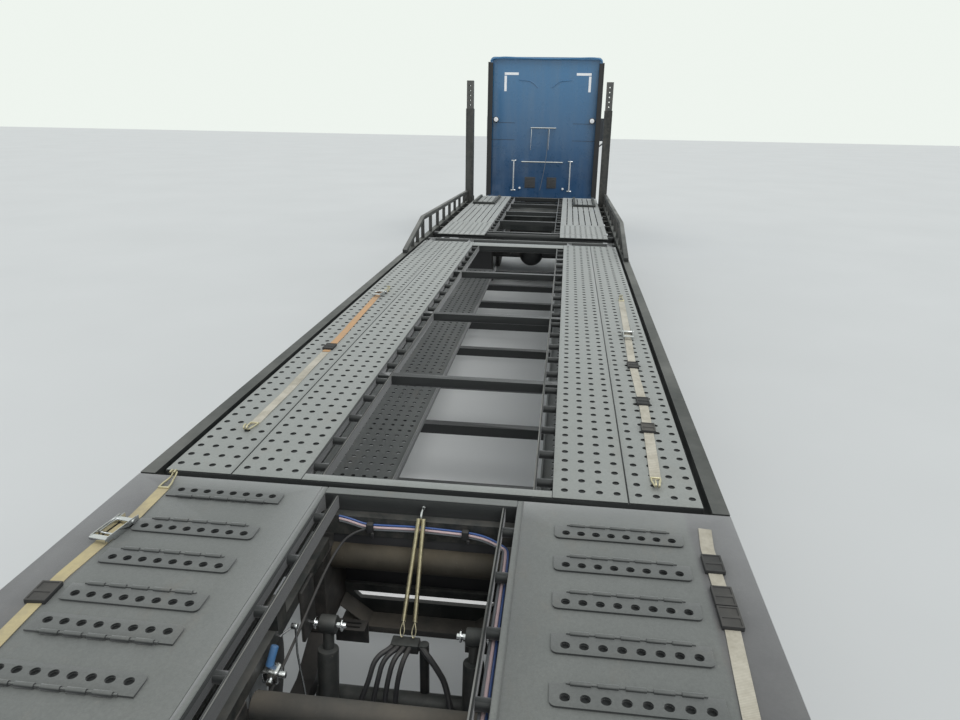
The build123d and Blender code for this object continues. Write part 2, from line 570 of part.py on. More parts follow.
with BuildPart() as rear_wall_fittings:
    for bar_z, bar_half in ((2555, 270), (1845, 450)):
        rod_between((CAB_REAR_X - 60, -bar_half, bar_z), (CAB_REAR_X - 60, bar_half, bar_z), 16)
        for side in (1, -1):
            rod_between((CAB_REAR_X - 60, side * (bar_half - 20), bar_z), (CAB_REAR_X, side * (bar_half - 20), bar_z), 14)
    for side in (1, -1):
        rod_between((CAB_REAR_X - 60, side * 615, 1230), (CAB_REAR_X - 60, side * 615, 1870), 16)
        for foot_z in (1260, 1840):
            rod_between((CAB_REAR_X - 60, side * 615, foot_z), (CAB_REAR_X, side * 615, foot_z), 14)
        rod_between((CAB_REAR_X - 70, side * 1025, 2715), (CAB_REAR_X, side * 1025, 2715), 55)
rear_wall_fittings.part.label = "rear_wall_fittings"
export_step(rear_wall_fittings.part, "parts/rear_wall_fittings.step")

# Mirrors on arms from the cowl corners

with BuildPart() as mirrors:
    for side in (1, -1):
        y_near, y_far = sorted((side * CAB_HALF_W, side * (CAB_HALF_W + 16)))
        block(9655, 9735, y_near, y_far, 1860, 1960)
        rod_between((9700, side * (CAB_HALF_W + 12), 1910), (9740, side * 1445, 2160), 18)
        rod_between((9740, side * 1430, 2130), (9740, side * 1430, 2820), 16)
        y_near, y_far = sorted((side * 1330, side * 1550))
        block(9700, 9790, y_near, y_far, 2200, 2750)
mirrors.part.label = "mirrors"
export_step(mirrors.part, "parts/mirrors.step")

# Hood with both front fenders, tilting forward on the bumper's ears

hood_side = [(COWL_X + 20, 1000), (COWL_X + 20, SCREEN_BASE_Z), (10400, 1880), (11050, 1730), (11300, 1600),
             (11440, 1400), (11480, 1150), (11480, HOOD_PIVOT_Z + 15), (10900, HOOD_PIVOT_Z + 15), (10900, 1000)]
with BuildPart() as hood:
    side_profile(hood_side, -1020, 1020)
    with BuildSketch(Plane.XY.offset(600)) as hood_plan:
        with BuildLine():
            Polyline((COWL_X + 20, -1020), (COWL_X + 20, 1020), (10700, 900), (11300, 720), (11480, 560),
                     (11480, -560), (11300, -720), (10700, -900), close=True)
        make_face()
    extrude(hood_plan.sketch, amount=1800, mode=Mode.INTERSECT)
    side_profile([(COWL_X + 60, 640), (COWL_X + 60, 1130), (10000, 1240), (10600, 1240), (10950, 1130), (11300, 1000),
                  (11400, HOOD_PIVOT_Z + 15), (10700, HOOD_PIVOT_Z + 15), (10700, 640)], -FENDER_HALF_W, FENDER_HALF_W)
    # Hollow inside
    side_profile([(COWL_X - 1, 500), (COWL_X - 1, SCREEN_BASE_Z - 30), (10400, 1850), (11040, 1700), (11280, 1570),
                  (11410, 1390), (11450, 1150), (11450, 500)], -700, 700, Mode.SUBTRACT)
    side_profile([(COWL_X - 1, 500), (COWL_X - 1, 1100), (10010, 1210), (10590, 1210), (10940, 1100), (11180, 1000),
                  (11200, 500)], 30 - FENDER_HALF_W, FENDER_HALF_W - 30, Mode.SUBTRACT)
    with Locations(Location((STEER_AXLE_X, 0, TYRE_R), (90, 0, 0))):
        Cylinder(ARCH_R, 2 * FENDER_HALF_W + 10, mode=Mode.SUBTRACT)
    for side in (1, -1):
        y_near, y_far = sorted((side * 450, side * 550))
        block(11400, HOOD_PIVOT_X, y_near, y_far, HOOD_PIVOT_Z - HOOD_KNUCKLE_R, HOOD_PIVOT_Z + 30)
        rod_between((HOOD_PIVOT_X, y_near, HOOD_PIVOT_Z), (HOOD_PIVOT_X, y_far, HOOD_PIVOT_Z), HOOD_KNUCKLE_R)
        rod_between((HOOD_PIVOT_X, side * 440, HOOD_PIVOT_Z), (HOOD_PIVOT_X, side * 560, HOOD_PIVOT_Z),
                    12 + BEARING_GAP, Mode.SUBTRACT)
    block(11300, 11500, -330, 330, 900, 1480, Mode.SUBTRACT)
    both_sides(11150, 11420, 820, 1120, 860, 985, Mode.SUBTRACT)
hood.part.label = "hood"
export_step(hood.part, "parts/hood.step")

# Grille in the hood's nose

with BuildPart() as grille:
    block(11440, 11470, -330, 330, 900, 1400)
grille.part.label = "grille"
export_step(grille.part, "parts/grille.step")

# Head lamps in the fenders

with BuildPart() as headlamps:
    for side in (1, -1):
        y_near, y_far = sorted((side * 820, side * 1120))
        block(11150, 11330, y_near, y_far, 860, 985)
headlamps.part.label = "headlamps"
export_step(headlamps.part, "parts/headlamps.step")

# Doors with their windows

for side, tag in ((1, "left"), (-1, "right")):
    y_in, y_out = side * (CAB_HALF_W - DOOR_T), side * CAB_HALF_W
    y_near, y_far = sorted((y_in, y_out))
    with BuildPart() as door:
        side_profile(door_outline, y_near, y_far)
        side_profile(window_outline, y_near - 1, y_far + 1, Mode.SUBTRACT)
        for hinge_z in DOOR_HINGE_Z:
            hinge_line = [(DOOR_HINGE_X, side * DOOR_HINGE_Y, hinge_z + dz) for dz in (-67, -35, 35, 67)]
            rod_between(hinge_line[0], hinge_line[3], DOOR_KNUCKLE_R + 7, Mode.SUBTRACT)
            rod_between(hinge_line[1], hinge_line[2], DOOR_KNUCKLE_R)
            y_knuckle = sorted((side * (CAB_HALF_W - 20), side * (CAB_HALF_W - 4)))
            block(DOOR_FRONT_X - 30, DOOR_FRONT_X, y_knuckle[0], y_knuckle[1], hinge_z - 35, hinge_z + 35)
            rod_between(hinge_line[0], hinge_line[3], DOOR_PIN_R + BEARING_GAP, Mode.SUBTRACT)
    door.part.label = f"door_{tag}"
    export_step(door.part, f"parts/door_{tag}.step")
    with BuildPart() as window:
        side_profile(grown(window_outline, -SEAT_GAP), (y_near + y_far) / 2 - 4, (y_near + y_far) / 2 + 4)
    window.part.label = f"window_{tag}"
    export_step(window.part, f"parts/window_{tag}.step")

# Side frames of the trailer: upper rail, lower sill with uprights, and the deck post's outer tube

side_rail_in = DECK_HALF_W - SIDE_RAIL_W
rear_rail_top = DECK_Z - PLATE_T
sill_low_z = LOWER_RAIL_TOP_Z - LOWER_RAIL_DEPTH
track_z = LOWER_RAIL_TOP_Z - 20
neck_low_z = SIDE_RAIL_LOW_Z + COUPLER_T
neck_top_z = DECK_Z - DECK_DEPTH - 25
UPRIGHTS = 9
UPRIGHT_W = 80
with BuildPart() as side_frames:
    both_sides(REAR_JOINT_X, NOSE_X, side_rail_in, DECK_HALF_W, SIDE_RAIL_LOW_Z, DECK_Z)
    both_sides(TAIL_X, REAR_JOINT_X + 1, side_rail_in, DECK_HALF_W, SIDE_RAIL_LOW_Z, rear_rail_top)
    both_sides(LOWER_REAR_X, LOWER_FRONT_X, side_rail_in, DECK_HALF_W, sill_low_z, LOWER_RAIL_TOP_Z)
    upright_pitch = (LOWER_FRONT_X - LOWER_REAR_X - UPRIGHT_W) / (UPRIGHTS - 1)
    for upright in range(UPRIGHTS):
        upright_x = LOWER_REAR_X + upright * upright_pitch
        both_sides(upright_x, upright_x + UPRIGHT_W, side_rail_in, DECK_HALF_W, sill_low_z + 1, SIDE_RAIL_LOW_Z + 1)
    for side in (1, -1):
        post_y = side * POST_Y
        half = POST_SLEEVE / 2
        block(POST_X - half, POST_X + half, post_y - half, post_y + half, SIDE_RAIL_LOW_Z, POST_SLEEVE_TOP_Z)
        inner = POST_TUBE / 2 + POST_SLIDE_GAP
        block(POST_X - inner, POST_X + inner, post_y - inner, post_y + inner, POST_TUBE_LOW_Z - 100,
              POST_SLEEVE_TOP_Z + 1, Mode.SUBTRACT)
        # Pivot bores of the two decks
        for pivot_x in (MID_HINGE_X, FRONT_HINGE_X):
            rod_between((pivot_x, side * (side_rail_in - 1), HINGE_Z), (pivot_x, side * (DECK_HALF_W + 1), HINGE_Z),
                        PIVOT_PIN_R + BEARING_GAP, Mode.SUBTRACT)
        # Feet of the lift cylinders
        y_near, y_far = sorted((side * (LIFT_Y + LIFT_BARREL_R + 6), side * (side_rail_in + 1)))
        block(LIFT_FOOT[0] - 60, LIFT_FOOT[0] + 60, y_near, y_far, track_z + 2, LIFT_FOOT[1] + 50)
        rod_between((LIFT_FOOT[0], side * (LIFT_Y - 30), LIFT_FOOT[1]),
                    (LIFT_FOOT[0], side * (LIFT_Y + LIFT_BARREL_R + 20), LIFT_FOOT[1]), LIFT_PIN_R)
side_frames.part.label = "side_frames"
export_step(side_frames.part, "parts/side_frames.step")

# Trailer frame between the sides: rear cross members and rails, neck with coupler and kingpin, landing legs

LEG_X = 1660
LEG_Y = 960
with BuildPart() as trailer_frame:
    for member in range(8):
        member_x = TAIL_X + 60 + member * 630
        block(member_x, member_x + 80, -side_rail_in, side_rail_in, 1150, 1240)
    both_sides(TAIL_X + 60, REAR_JOINT_X - 140, 380, 460, 1100, 1150 - SEAT_GAP)
    both_sides(-250, NOSE_X - 40, 430, 530, neck_low_z, neck_top_z)
    for member_x in (-330, 700, 1600, 2500, 3400, NOSE_X - 90):
        block(member_x, member_x + 90, -side_rail_in, side_rail_in, neck_low_z, neck_top_z)
    block(2900, 4400, -535, 535, SIDE_RAIL_LOW_Z, neck_low_z + 1)
    rod_between((KINGPIN_X, 0, FIFTH_WHEEL_TOP_Z - 40), (KINGPIN_X, 0, SIDE_RAIL_LOW_Z + 5), kingpin_r)
    both_sides(LEG_X - 60, LEG_X + 60, LEG_Y - 60, LEG_Y + 60, 560, neck_low_z + 1)
    both_sides(LEG_X - 40, LEG_X + 40, LEG_Y - 40, LEG_Y + 40, 380, 561)
    both_sides(LEG_X - 110, LEG_X + 110, LEG_Y - 100, LEG_Y + 100, 350, 381)
    block(LEG_X - 20, LEG_X + 20, 1 - LEG_Y, LEG_Y - 1, 900, 940)
    # Towing eyes under the tail
    for side in (1, -1):
        eye_x, eye_y, eye_z = TAIL_EYE
        y_near, y_far = side * eye_y - TOW_EYE_T / 2, side * eye_y + TOW_EYE_T / 2
        block(eye_x - 45, eye_x + 45, y_near, y_far, eye_z, 1155)
        rod_between((eye_x, y_near, eye_z), (eye_x, y_far, eye_z), 45)
        rod_between((eye_x, y_near - 1, eye_z), (eye_x, y_far + 1, eye_z), TOW_EYE_R, Mode.SUBTRACT)
trailer_frame.part.label = "trailer_frame"
export_step(trailer_frame.part, "parts/trailer_frame.step")

# Inner tubes of the deck posts

with BuildPart() as post_extensions:
    for side in (1, -1):
        half = POST_TUBE / 2
        block(POST_X - half, POST_X + half, side * POST_Y - half, side * POST_Y + half, POST_TUBE_LOW_Z, POST_TOP_Z)
        block(POST_X - half + STEEL_T, POST_X + half - STEEL_T, side * POST_Y - half + STEEL_T,
              side * POST_Y + half - STEEL_T, POST_TUBE_LOW_Z - 1, POST_TOP_Z - STEEL_T, Mode.SUBTRACT)
post_extensions.part.label = "post_extensions"
export_step(post_extensions.part, "parts/post_extensions.step")

# Rear deck: plates with chock flaps on both sides of the centre opening, thin inner rails on short stub tubes

with BuildPart() as rear_deck:
    both_sides(TAIL_X, REAR_JOINT_X - 10, REAR_TRACK_INNER_Y, DECK_HALF_W, rear_rail_top, DECK_Z)
    both_sides(TAIL_X, REAR_JOINT_X - 10, REAR_TRACK_INNER_Y, REAR_TRACK_INNER_Y + 12, 1240, rear_rail_top + 1)
    both_sides(TAIL_X, REAR_JOINT_X - 10, 355, 367, 1250, 1310)
    for stub in range(15):
        stub_x = REAR_JOINT_X - 200 - stub * 300
        for side in (1, -1):
            rod_between((stub_x, side * 360, 1280), (stub_x, side * (REAR_TRACK_INNER_Y + 5), 1280), 20)
    block(REAR_JOINT_X - 60, REAR_JOINT_X - 10, -REAR_TRACK_INNER_Y - 2, REAR_TRACK_INNER_Y + 2, 1240, DECK_Z)
    block(TAIL_X, TAIL_X + 60, -REAR_TRACK_INNER_Y - 2, REAR_TRACK_INNER_Y + 2, 1240, DECK_Z)
    # Hinged chock flaps lying on the plates, each with its hinge bar
    for row in range(FLAP_ROWS):
        hinge_x = FLAP_FIRST_X - row * FLAP_PITCH
        for side in (1, -1):
            forward = side == 1 and row in FLAPS_TURNED_FORWARD
            x0, x1 = (hinge_x, hinge_x + FLAP_DEPTH) if forward else (hinge_x - FLAP_DEPTH, hinge_x)
            y_near, y_far = sorted((side * FLAP_INNER_Y, side * FLAP_OUTER_Y))
            block(x0, x1, y_near, y_far, DECK_Z - 1, DECK_Z + FLAP_T)
            rod_between((hinge_x, y_near + 60, DECK_Z + 8), (hinge_x, y_far - 60, DECK_Z + 8), 9)
rear_deck.part.label = "rear_deck"
export_step(rear_deck.part, "parts/rear_deck.step")

# Lower deck in the belly of the trailer: cross members between the sills, and two tracks

with BuildPart() as lower_deck:
    for upright in range(UPRIGHTS):
        upright_x = LOWER_REAR_X + upright * upright_pitch
        block(upright_x, upright_x + UPRIGHT_W, -side_rail_in, side_rail_in, sill_low_z, track_z)
    both_sides(LOWER_REAR_X, LOWER_FRONT_X, 480, 1060, track_z - 1, track_z + PLATE_T)
    both_sides(LOWER_REAR_X, LOWER_FRONT_X, 480, 492, track_z, track_z + 60)
lower_deck.part.label = "lower_deck"
export_step(lower_deck.part, "parts/lower_deck.step")

# Trailer axles with hangers and springs

with BuildPart() as trailer_axles:
    for axle_x in trailer_axle_x:
        axle_with_spindles(axle_x)
        for side in (1, -1):
            side_profile([(axle_x - 500, 800), (axle_x - 480, 760), (axle_x - 150, 570), (axle_x + 150, 570),
                          (axle_x + 480, 760), (axle_x + 500, 800), (axle_x + 440, 800), (axle_x + 140, 640),
                          (axle_x - 140, 640), (axle_x - 440, 800)], side * 420 - 38, side * 420 + 38)
            block(axle_x - 70, axle_x + 70, side * 420 - 50, side * 420 + 50, 500, 600)
    for hanger_x in (trailer_axle_x[0] + 480, TRAILER_MID_X, trailer_axle_x[1] - 480):
        both_sides(hanger_x - 170, hanger_x + 170, 375, 465, 740, 1100)
trailer_axles.part.label = "trailer_axles"
export_step(trailer_axles.part, "parts/trailer_axles.step")

# Tail: lamp bar under the rear edge with round lamps

with BuildPart() as tail_lamps:
    for lamp_y in (500, 700, 900, 1100):
        for side in (1, -1):
            rod_between((TAIL_X, side * lamp_y, 1180), (TAIL_X + 60, side * lamp_y, 1180), 50)
tail_lamps.part.label = "tail_lamps"
export_step(tail_lamps.part, "parts/tail_lamps.step")

# Air lines clipped along the cross plate of the rear opening

with BuildPart() as air_lines:
    for line_z in (1252, 1268, 1284):
        rod_between((REAR_JOINT_X - 68, -350, line_z), (REAR_JOINT_X - 68, 350, line_z), 7)
    block(REAR_JOINT_X - 80, REAR_JOINT_X - 60, -20, 20, 1243, 1293)
    block(REAR_JOINT_X - 80, REAR_JOINT_X - 60, 200, 240, 1243, 1293)
    block(REAR_JOINT_X - 80, REAR_JOINT_X - 60, -240, -200, 1243, 1293)
air_lines.part.label = "air_lines"
export_step(air_lines.part, "parts/air_lines.step")

# Middle deck: two tracks, frame and inner rails, on a cross tube that turns in the side rails

deck_low_z = DECK_Z - DECK_DEPTH
mid_rear_x = REAR_JOINT_X + DECK_GAP
with BuildPart() as mid_deck:
    both_sides(mid_rear_x, MID_FRONT_X, MID_TRACK_INNER_Y, MID_HALF_W, DECK_Z - PLATE_T, DECK_Z)
    both_sides(mid_rear_x, MID_FRONT_X, MID_HALF_W - 50, MID_HALF_W, deck_low_z, DECK_Z - PLATE_T + 1)
    both_sides(mid_rear_x, MID_FRONT_X, MID_TRACK_INNER_Y, MID_TRACK_INNER_Y + 40, deck_low_z, DECK_Z - PLATE_T + 1)
    both_sides(mid_rear_x, MID_FRONT_X, MID_RAIL_Y - 6, MID_RAIL_Y + 6, 1256, 1312)
    for stub in range(21):
        stub_x = mid_rear_x + 185 + stub * 290
        for side in (1, -1):
            rod_between((stub_x, side * MID_RAIL_Y, 1285), (stub_x, side * (MID_TRACK_INNER_Y + 5), 1285), 20)
    for bar_x in (mid_rear_x, -5580, -4090, -2450, -920, MID_FRONT_X - 60):
        block(bar_x, bar_x + 60, -MID_HALF_W + 1, MID_HALF_W - 1, deck_low_z, DECK_Z - PLATE_T - 1)
    both_sides(MID_FRONT_X - 10, MID_HINGE_X, 1100, 1160, HINGE_Z - 20, HINGE_Z + 40)
    both_sides(MID_FRONT_X - 10, MID_HINGE_X, 600, 660, HINGE_Z - 20, HINGE_Z + 40)
    rod_between((MID_HINGE_X, -MID_HALF_W, HINGE_Z), (MID_HINGE_X, MID_HALF_W, HINGE_Z), 45)
    rod_between((MID_HINGE_X, -DECK_HALF_W, HINGE_Z), (MID_HINGE_X, DECK_HALF_W, HINGE_Z), PIVOT_PIN_R)
    for side in (1, -1):
        y_near, y_far = sorted((side * (LIFT_Y - 45), side * (LIFT_Y - 31)))
        block(LIFT_EYE[0] - 50, LIFT_EYE[0] + 50, y_near, y_far, LIFT_EYE[1] - 40, deck_low_z + 30)
        rod_between((LIFT_EYE[0], side * (LIFT_Y - 40), LIFT_EYE[1]), (LIFT_EYE[0], side * (LIFT_Y + 25), LIFT_EYE[1]),
                    LIFT_PIN_R)
        y_near, y_far = sorted((side * (LIFT_Y - 45), side * MID_HALF_W))
        block(LIFT_EYE[0] - 50, LIFT_EYE[0] + 50, y_near, y_far, deck_low_z, deck_low_z + 30)
mid_deck.part.label = "mid_deck"
export_step(mid_deck.part, "parts/mid_deck.step")

# Front deck: ribbed tracks on a frame that turns at its rear cross tube

with BuildPart() as front_deck:
    both_sides(FRONT_HINGE_X + 60, NOSE_X - 10, FRONT_TRACK_INNER_Y, FRONT_HALF_W, DECK_Z - PLATE_T, DECK_Z)
    both_sides(FRONT_HINGE_X, NOSE_X - 10, FRONT_HALF_W - 50, FRONT_HALF_W, deck_low_z, DECK_Z - PLATE_T + 1)
    both_sides(FRONT_HINGE_X, NOSE_X - 10, FRONT_TRACK_INNER_Y, FRONT_TRACK_INNER_Y + 40, deck_low_z,
               DECK_Z - PLATE_T + 1)
    for bar_x in (FRONT_HINGE_X + 100, 1300, 2400, 3450, NOSE_X - 80):
        block(bar_x, bar_x + 60, -FRONT_HALF_W + 1, FRONT_HALF_W - 1, deck_low_z, DECK_Z - PLATE_T - 1)
    rod_between((FRONT_HINGE_X, -side_rail_in + 8, HINGE_Z), (FRONT_HINGE_X, side_rail_in - 8, HINGE_Z), 40)
    rod_between((FRONT_HINGE_X, -DECK_HALF_W, HINGE_Z), (FRONT_HINGE_X, DECK_HALF_W, HINGE_Z), PIVOT_PIN_R)
front_deck.part.label = "front_deck"
export_step(front_deck.part, "parts/front_deck.step")

# Lift cylinders: barrels on the frame's pins, rods up to the deck's lugs

lift_dx, lift_dz = LIFT_EYE[0] - LIFT_FOOT[0], LIFT_EYE[1] - LIFT_FOOT[1]
lift_length = (lift_dx**2 + lift_dz**2) ** 0.5
lift_ux, lift_uz = lift_dx / lift_length, lift_dz / lift_length


def along_lift(distance, y):
    """A point on the lift cylinder's axis, measured from its foot."""
    return (LIFT_FOOT[0] + lift_ux * distance, y, LIFT_FOOT[1] + lift_uz * distance)


with BuildPart() as lift_barrels:
    for side in (1, -1):
        y = side * LIFT_Y
        rod_between(along_lift(52, y), along_lift(LIFT_BARREL_LENGTH, y), LIFT_BARREL_R)
        rod_between((LIFT_FOOT[0], y - 25, LIFT_FOOT[1]), (LIFT_FOOT[0], y + 25, LIFT_FOOT[1]), 48)
        rod_between(along_lift(30, y), along_lift(60, y), 24)
        rod_between(along_lift(120, y), along_lift(LIFT_BARREL_LENGTH + 1, y), LIFT_ROD_R + BEARING_GAP, Mode.SUBTRACT)
        rod_between((LIFT_FOOT[0], y - 60, LIFT_FOOT[1]), (LIFT_FOOT[0], y + 60, LIFT_FOOT[1]),
                    LIFT_PIN_R + BEARING_GAP, Mode.SUBTRACT)
lift_barrels.part.label = "lift_barrels"
export_step(lift_barrels.part, "parts/lift_barrels.step")

with BuildPart() as lift_rods:
    for side in (1, -1):
        y = side * LIFT_Y
        rod_between(along_lift(130, y), along_lift(lift_length - 40, y), LIFT_ROD_R)
        rod_between((LIFT_EYE[0], y - 22, LIFT_EYE[1]), (LIFT_EYE[0], y + 22, LIFT_EYE[1]), 50)
        rod_between((LIFT_EYE[0], y - 60, LIFT_EYE[1]), (LIFT_EYE[0], y + 60, LIFT_EYE[1]),
                    LIFT_PIN_R + LIFT_EYE_PLAY, Mode.SUBTRACT)
lift_rods.part.label = "lift_rods"
export_step(lift_rods.part, "parts/lift_rods.step")

# Tie-down straps left lying on the decks, as flat webbing

WEB_W = 50
WEB_T = 3


def webbing(route, z):
    """Flat webbing on a deck, along a route of (x, y) points."""
    for (xa, ya), (xb, yb) in zip(route, route[1:]):
        length = ((xb - xa) ** 2 + (yb - ya) ** 2) ** 0.5
        turn = degrees(atan2(yb - ya, xb - xa))
        with BuildSketch(Plane.XY.offset(z)) as strip:
            with Locations(Location(((xa + xb) / 2, (ya + yb) / 2, 0), (0, 0, turn))):
                Rectangle(length, WEB_W)
            with Locations((xa, ya), (xb, yb)):
                Circle(WEB_W / 2)
        extrude(strip.sketch, amount=WEB_T)


with BuildPart() as rear_straps:
    webbing([(-8060, 1160), (-7800, 1170), (-7400, 1175), (-7080, 1150)], DECK_Z + SEAT_GAP)
    webbing([(-8300, -1150), (-7800, -1165), (-7400, -1170), (-7080, -1140)], DECK_Z + SEAT_GAP)
rear_straps.part.label = "rear_straps"
export_step(rear_straps.part, "parts/rear_straps.step")

with BuildPart() as mid_straps:
    webbing([(-6600, 800), (-5600, 850), (-4700, 900), (-3500, 900)], DECK_Z + SEAT_GAP)
    webbing([(-6700, -1000), (-5600, -1010), (-4700, -1030), (-3300, -1060)], DECK_Z + SEAT_GAP)
mid_straps.part.label = "mid_straps"
export_step(mid_straps.part, "parts/mid_straps.step")
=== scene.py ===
"""Looks of an articulated car transporter lorry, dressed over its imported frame.

Metres, +X forward, +Y to the driver's left, +Z up from the ground.
"""

import json
import math

import bmesh
import bpy
from mathutils import Matrix, Vector

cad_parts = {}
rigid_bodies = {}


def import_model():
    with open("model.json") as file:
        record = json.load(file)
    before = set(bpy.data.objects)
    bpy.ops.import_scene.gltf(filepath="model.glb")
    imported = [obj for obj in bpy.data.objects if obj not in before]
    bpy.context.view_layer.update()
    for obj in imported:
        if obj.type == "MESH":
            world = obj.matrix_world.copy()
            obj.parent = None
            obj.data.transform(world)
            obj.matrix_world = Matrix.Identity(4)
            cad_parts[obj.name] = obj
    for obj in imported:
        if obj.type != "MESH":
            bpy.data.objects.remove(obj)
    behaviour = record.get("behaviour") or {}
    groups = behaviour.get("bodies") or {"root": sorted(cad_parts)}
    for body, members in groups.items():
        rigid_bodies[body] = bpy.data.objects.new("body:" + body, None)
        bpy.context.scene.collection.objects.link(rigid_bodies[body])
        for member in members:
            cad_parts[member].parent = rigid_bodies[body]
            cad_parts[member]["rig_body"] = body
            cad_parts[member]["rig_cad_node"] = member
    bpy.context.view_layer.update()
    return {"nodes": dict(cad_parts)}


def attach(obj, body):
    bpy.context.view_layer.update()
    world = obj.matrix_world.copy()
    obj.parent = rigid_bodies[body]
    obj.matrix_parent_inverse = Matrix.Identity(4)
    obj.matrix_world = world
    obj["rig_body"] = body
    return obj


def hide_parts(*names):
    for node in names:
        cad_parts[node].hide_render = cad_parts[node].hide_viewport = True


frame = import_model()
nodes = frame["nodes"]
scene = bpy.context.scene

# Heights and stations that the pieces share

DECK_TOP = 1.320
REAR_EDGE = -7.010
MID_REAR, MID_FRONT = -6.960, -0.700
MID_HALF_WIDTH = 1.195
CAB_REAR = 6.700
TYRE_RADIUS = 0.500
TYRE_WIDTH = 0.255
BEAD_RADIUS = 0.288
SIDES = ((1, "left"), (-1, "right"))


# Modelling by hand


def pick_nothing():
    """Deselects everything, so that an operator acts on the new piece alone."""
    if bpy.context.object and bpy.context.object.mode != "OBJECT":
        bpy.ops.object.mode_set(mode="OBJECT")
    bpy.ops.object.select_all(action="DESELECT")


def pick(*pieces):
    """Selects these pieces, the first one active."""
    pick_nothing()
    for piece in pieces:
        piece.select_set(True)
    bpy.context.view_layer.objects.active = pieces[0]


def apply_modifiers(piece):
    """Makes all of a piece's modifiers part of its mesh."""
    pick(piece)
    for modifier in list(piece.modifiers):
        bpy.ops.object.modifier_apply(modifier=modifier.name)


def set_place(piece):
    """Puts a piece's place, turn and size into its mesh."""
    pick(piece)
    bpy.ops.object.transform_apply(location=True, rotation=True, scale=True)


def round_edges(piece, width, segments=2, angle=35):
    """Rounds all edges of a piece that turn by more than an angle."""
    bevel = piece.modifiers.new("rounded edges", "BEVEL")
    bevel.width = width
    bevel.segments = segments
    bevel.limit_method = "ANGLE"
    bevel.angle_limit = math.radians(angle)
    apply_modifiers(piece)


def face_out(piece):
    """Turns all faces of a piece outwards."""
    pick(piece)
    bpy.ops.object.mode_set(mode="EDIT")
    bpy.ops.mesh.select_all(action="SELECT")
    bpy.ops.mesh.normals_make_consistent(inside=False)
    bpy.ops.object.mode_set(mode="OBJECT")


def plate(name, low, high, edge=0.003, segments=2):
    """A flat or square bar between two opposite corners, with rounded edges."""
    pick_nothing()
    middle = [(a + b) / 2 for a, b in zip(low, high)]
    bpy.ops.mesh.primitive_cube_add(size=1, location=middle)
    piece = bpy.context.object
    piece.name = name
    piece.scale = [abs(b - a) for a, b in zip(low, high)]
    set_place(piece)
    if edge:
        round_edges(piece, edge, segments)
    return piece


def bar(name, start, end, radius, sides=20, edge=0.0015):
    """A round bar from one point to another, with its rims rounded."""
    pick_nothing()
    start, end = Vector(start), Vector(end)
    bpy.ops.mesh.primitive_cylinder_add(vertices=sides, radius=radius, depth=(end - start).length)
    piece = bpy.context.object
    piece.name = name
    piece.rotation_mode = "QUATERNION"
    piece.rotation_quaternion = (end - start).to_track_quat("Z", "Y")
    piece.location = (start + end) / 2
    set_place(piece)
    if edge:
        round_edges(piece, edge, 2, 50)
    return piece


def cross_bar(name, x, z, y_start, y_end, radius, sides=20, edge=0.0015):
    """A round bar straight across the vehicle."""
    return bar(name, (x, y_start, z), (x, y_end, z), radius, sides, edge)


def bent_line(name, points, radius, smooth=True):
    """A pipe, wire or hose along a few points, on one smooth line."""
    pick_nothing()
    line = bpy.data.curves.new(name, "CURVE")
    line.dimensions = "3D"
    run = line.splines.new("NURBS" if smooth else "POLY")
    run.points.add(len(points) - 1)
    for point, place in zip(run.points, points):
        point.co = (*place, 1)
    if smooth:
        run.order_u = 3
        run.use_endpoint_u = True
        run.resolution_u = 6
    line.bevel_depth = radius
    line.bevel_resolution = 3
    line.use_fill_caps = True
    piece = bpy.data.objects.new(name, line)
    scene.collection.objects.link(piece)
    pick(piece)
    bpy.ops.object.convert(target="MESH")
    return bpy.context.object


def turned(name, profile, centre, segments=64):
    """A ring or dish spun about Y through centre, from (y, radius) points of a closed outline."""
    pick_nothing()
    bpy.ops.mesh.primitive_circle_add(vertices=len(profile), radius=1)
    piece = bpy.context.object
    piece.name = name
    for vertex, (y, radius) in zip(piece.data.vertices, profile):
        vertex.co = (radius, y, 0)
    bpy.ops.object.mode_set(mode="EDIT")
    bpy.ops.mesh.select_all(action="SELECT")
    bpy.ops.mesh.spin(steps=segments, angle=math.tau, center=(0, 0, 0), axis=(0, 1, 0))
    bpy.ops.mesh.select_all(action="SELECT")
    bpy.ops.mesh.remove_doubles(threshold=0.0001)
    bpy.ops.object.mode_set(mode="OBJECT")
    face_out(piece)
    piece.location = centre
    set_place(piece)
    return piece


def copied(piece, name, offset):
    """A copy of a piece with its own mesh, moved by offset."""
    twin = piece.copy()
    twin.data = piece.data.copy()
    twin.name = name
    scene.collection.objects.link(twin)
    twin.location = offset
    set_place(twin)
    return twin


def joined(name, pieces):
    """Makes one piece out of several."""
    pick(*pieces)
    if len(pieces) > 1:
        bpy.ops.object.join()
    piece = bpy.context.object
    piece.name = name
    return piece


def merged_copy(node, name):
    """A copy of a CAD node's mesh with its loose triangles merged."""
    piece = nodes[node].copy()
    piece.data = nodes[node].data.copy()
    piece.name = name
    piece.parent = None
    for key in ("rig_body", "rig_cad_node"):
        if key in piece:
            del piece[key]
    scene.collection.objects.link(piece)
    pick(piece)
    bpy.ops.object.mode_set(mode="EDIT")
    bpy.ops.mesh.select_all(action="SELECT")
    bpy.ops.mesh.remove_doubles(threshold=0.00005)
    bpy.ops.object.mode_set(mode="OBJECT")
    return piece


def cut_away(piece, cutter):
    """Takes the cutter's shape out of a piece."""
    cut = piece.modifiers.new("cut", "BOOLEAN")
    cut.operation = "DIFFERENCE"
    cut.object = cutter
    cut.solver = "EXACT"
    apply_modifiers(piece)
    bpy.data.objects.remove(cutter)


def without_layer(node, name, low, high):
    """A merged copy of a CAD node with all that lies between two corners taken off."""
    piece = merged_copy(node, name)
    cut_away(piece, plate("layer", low, high, 0))
    return piece


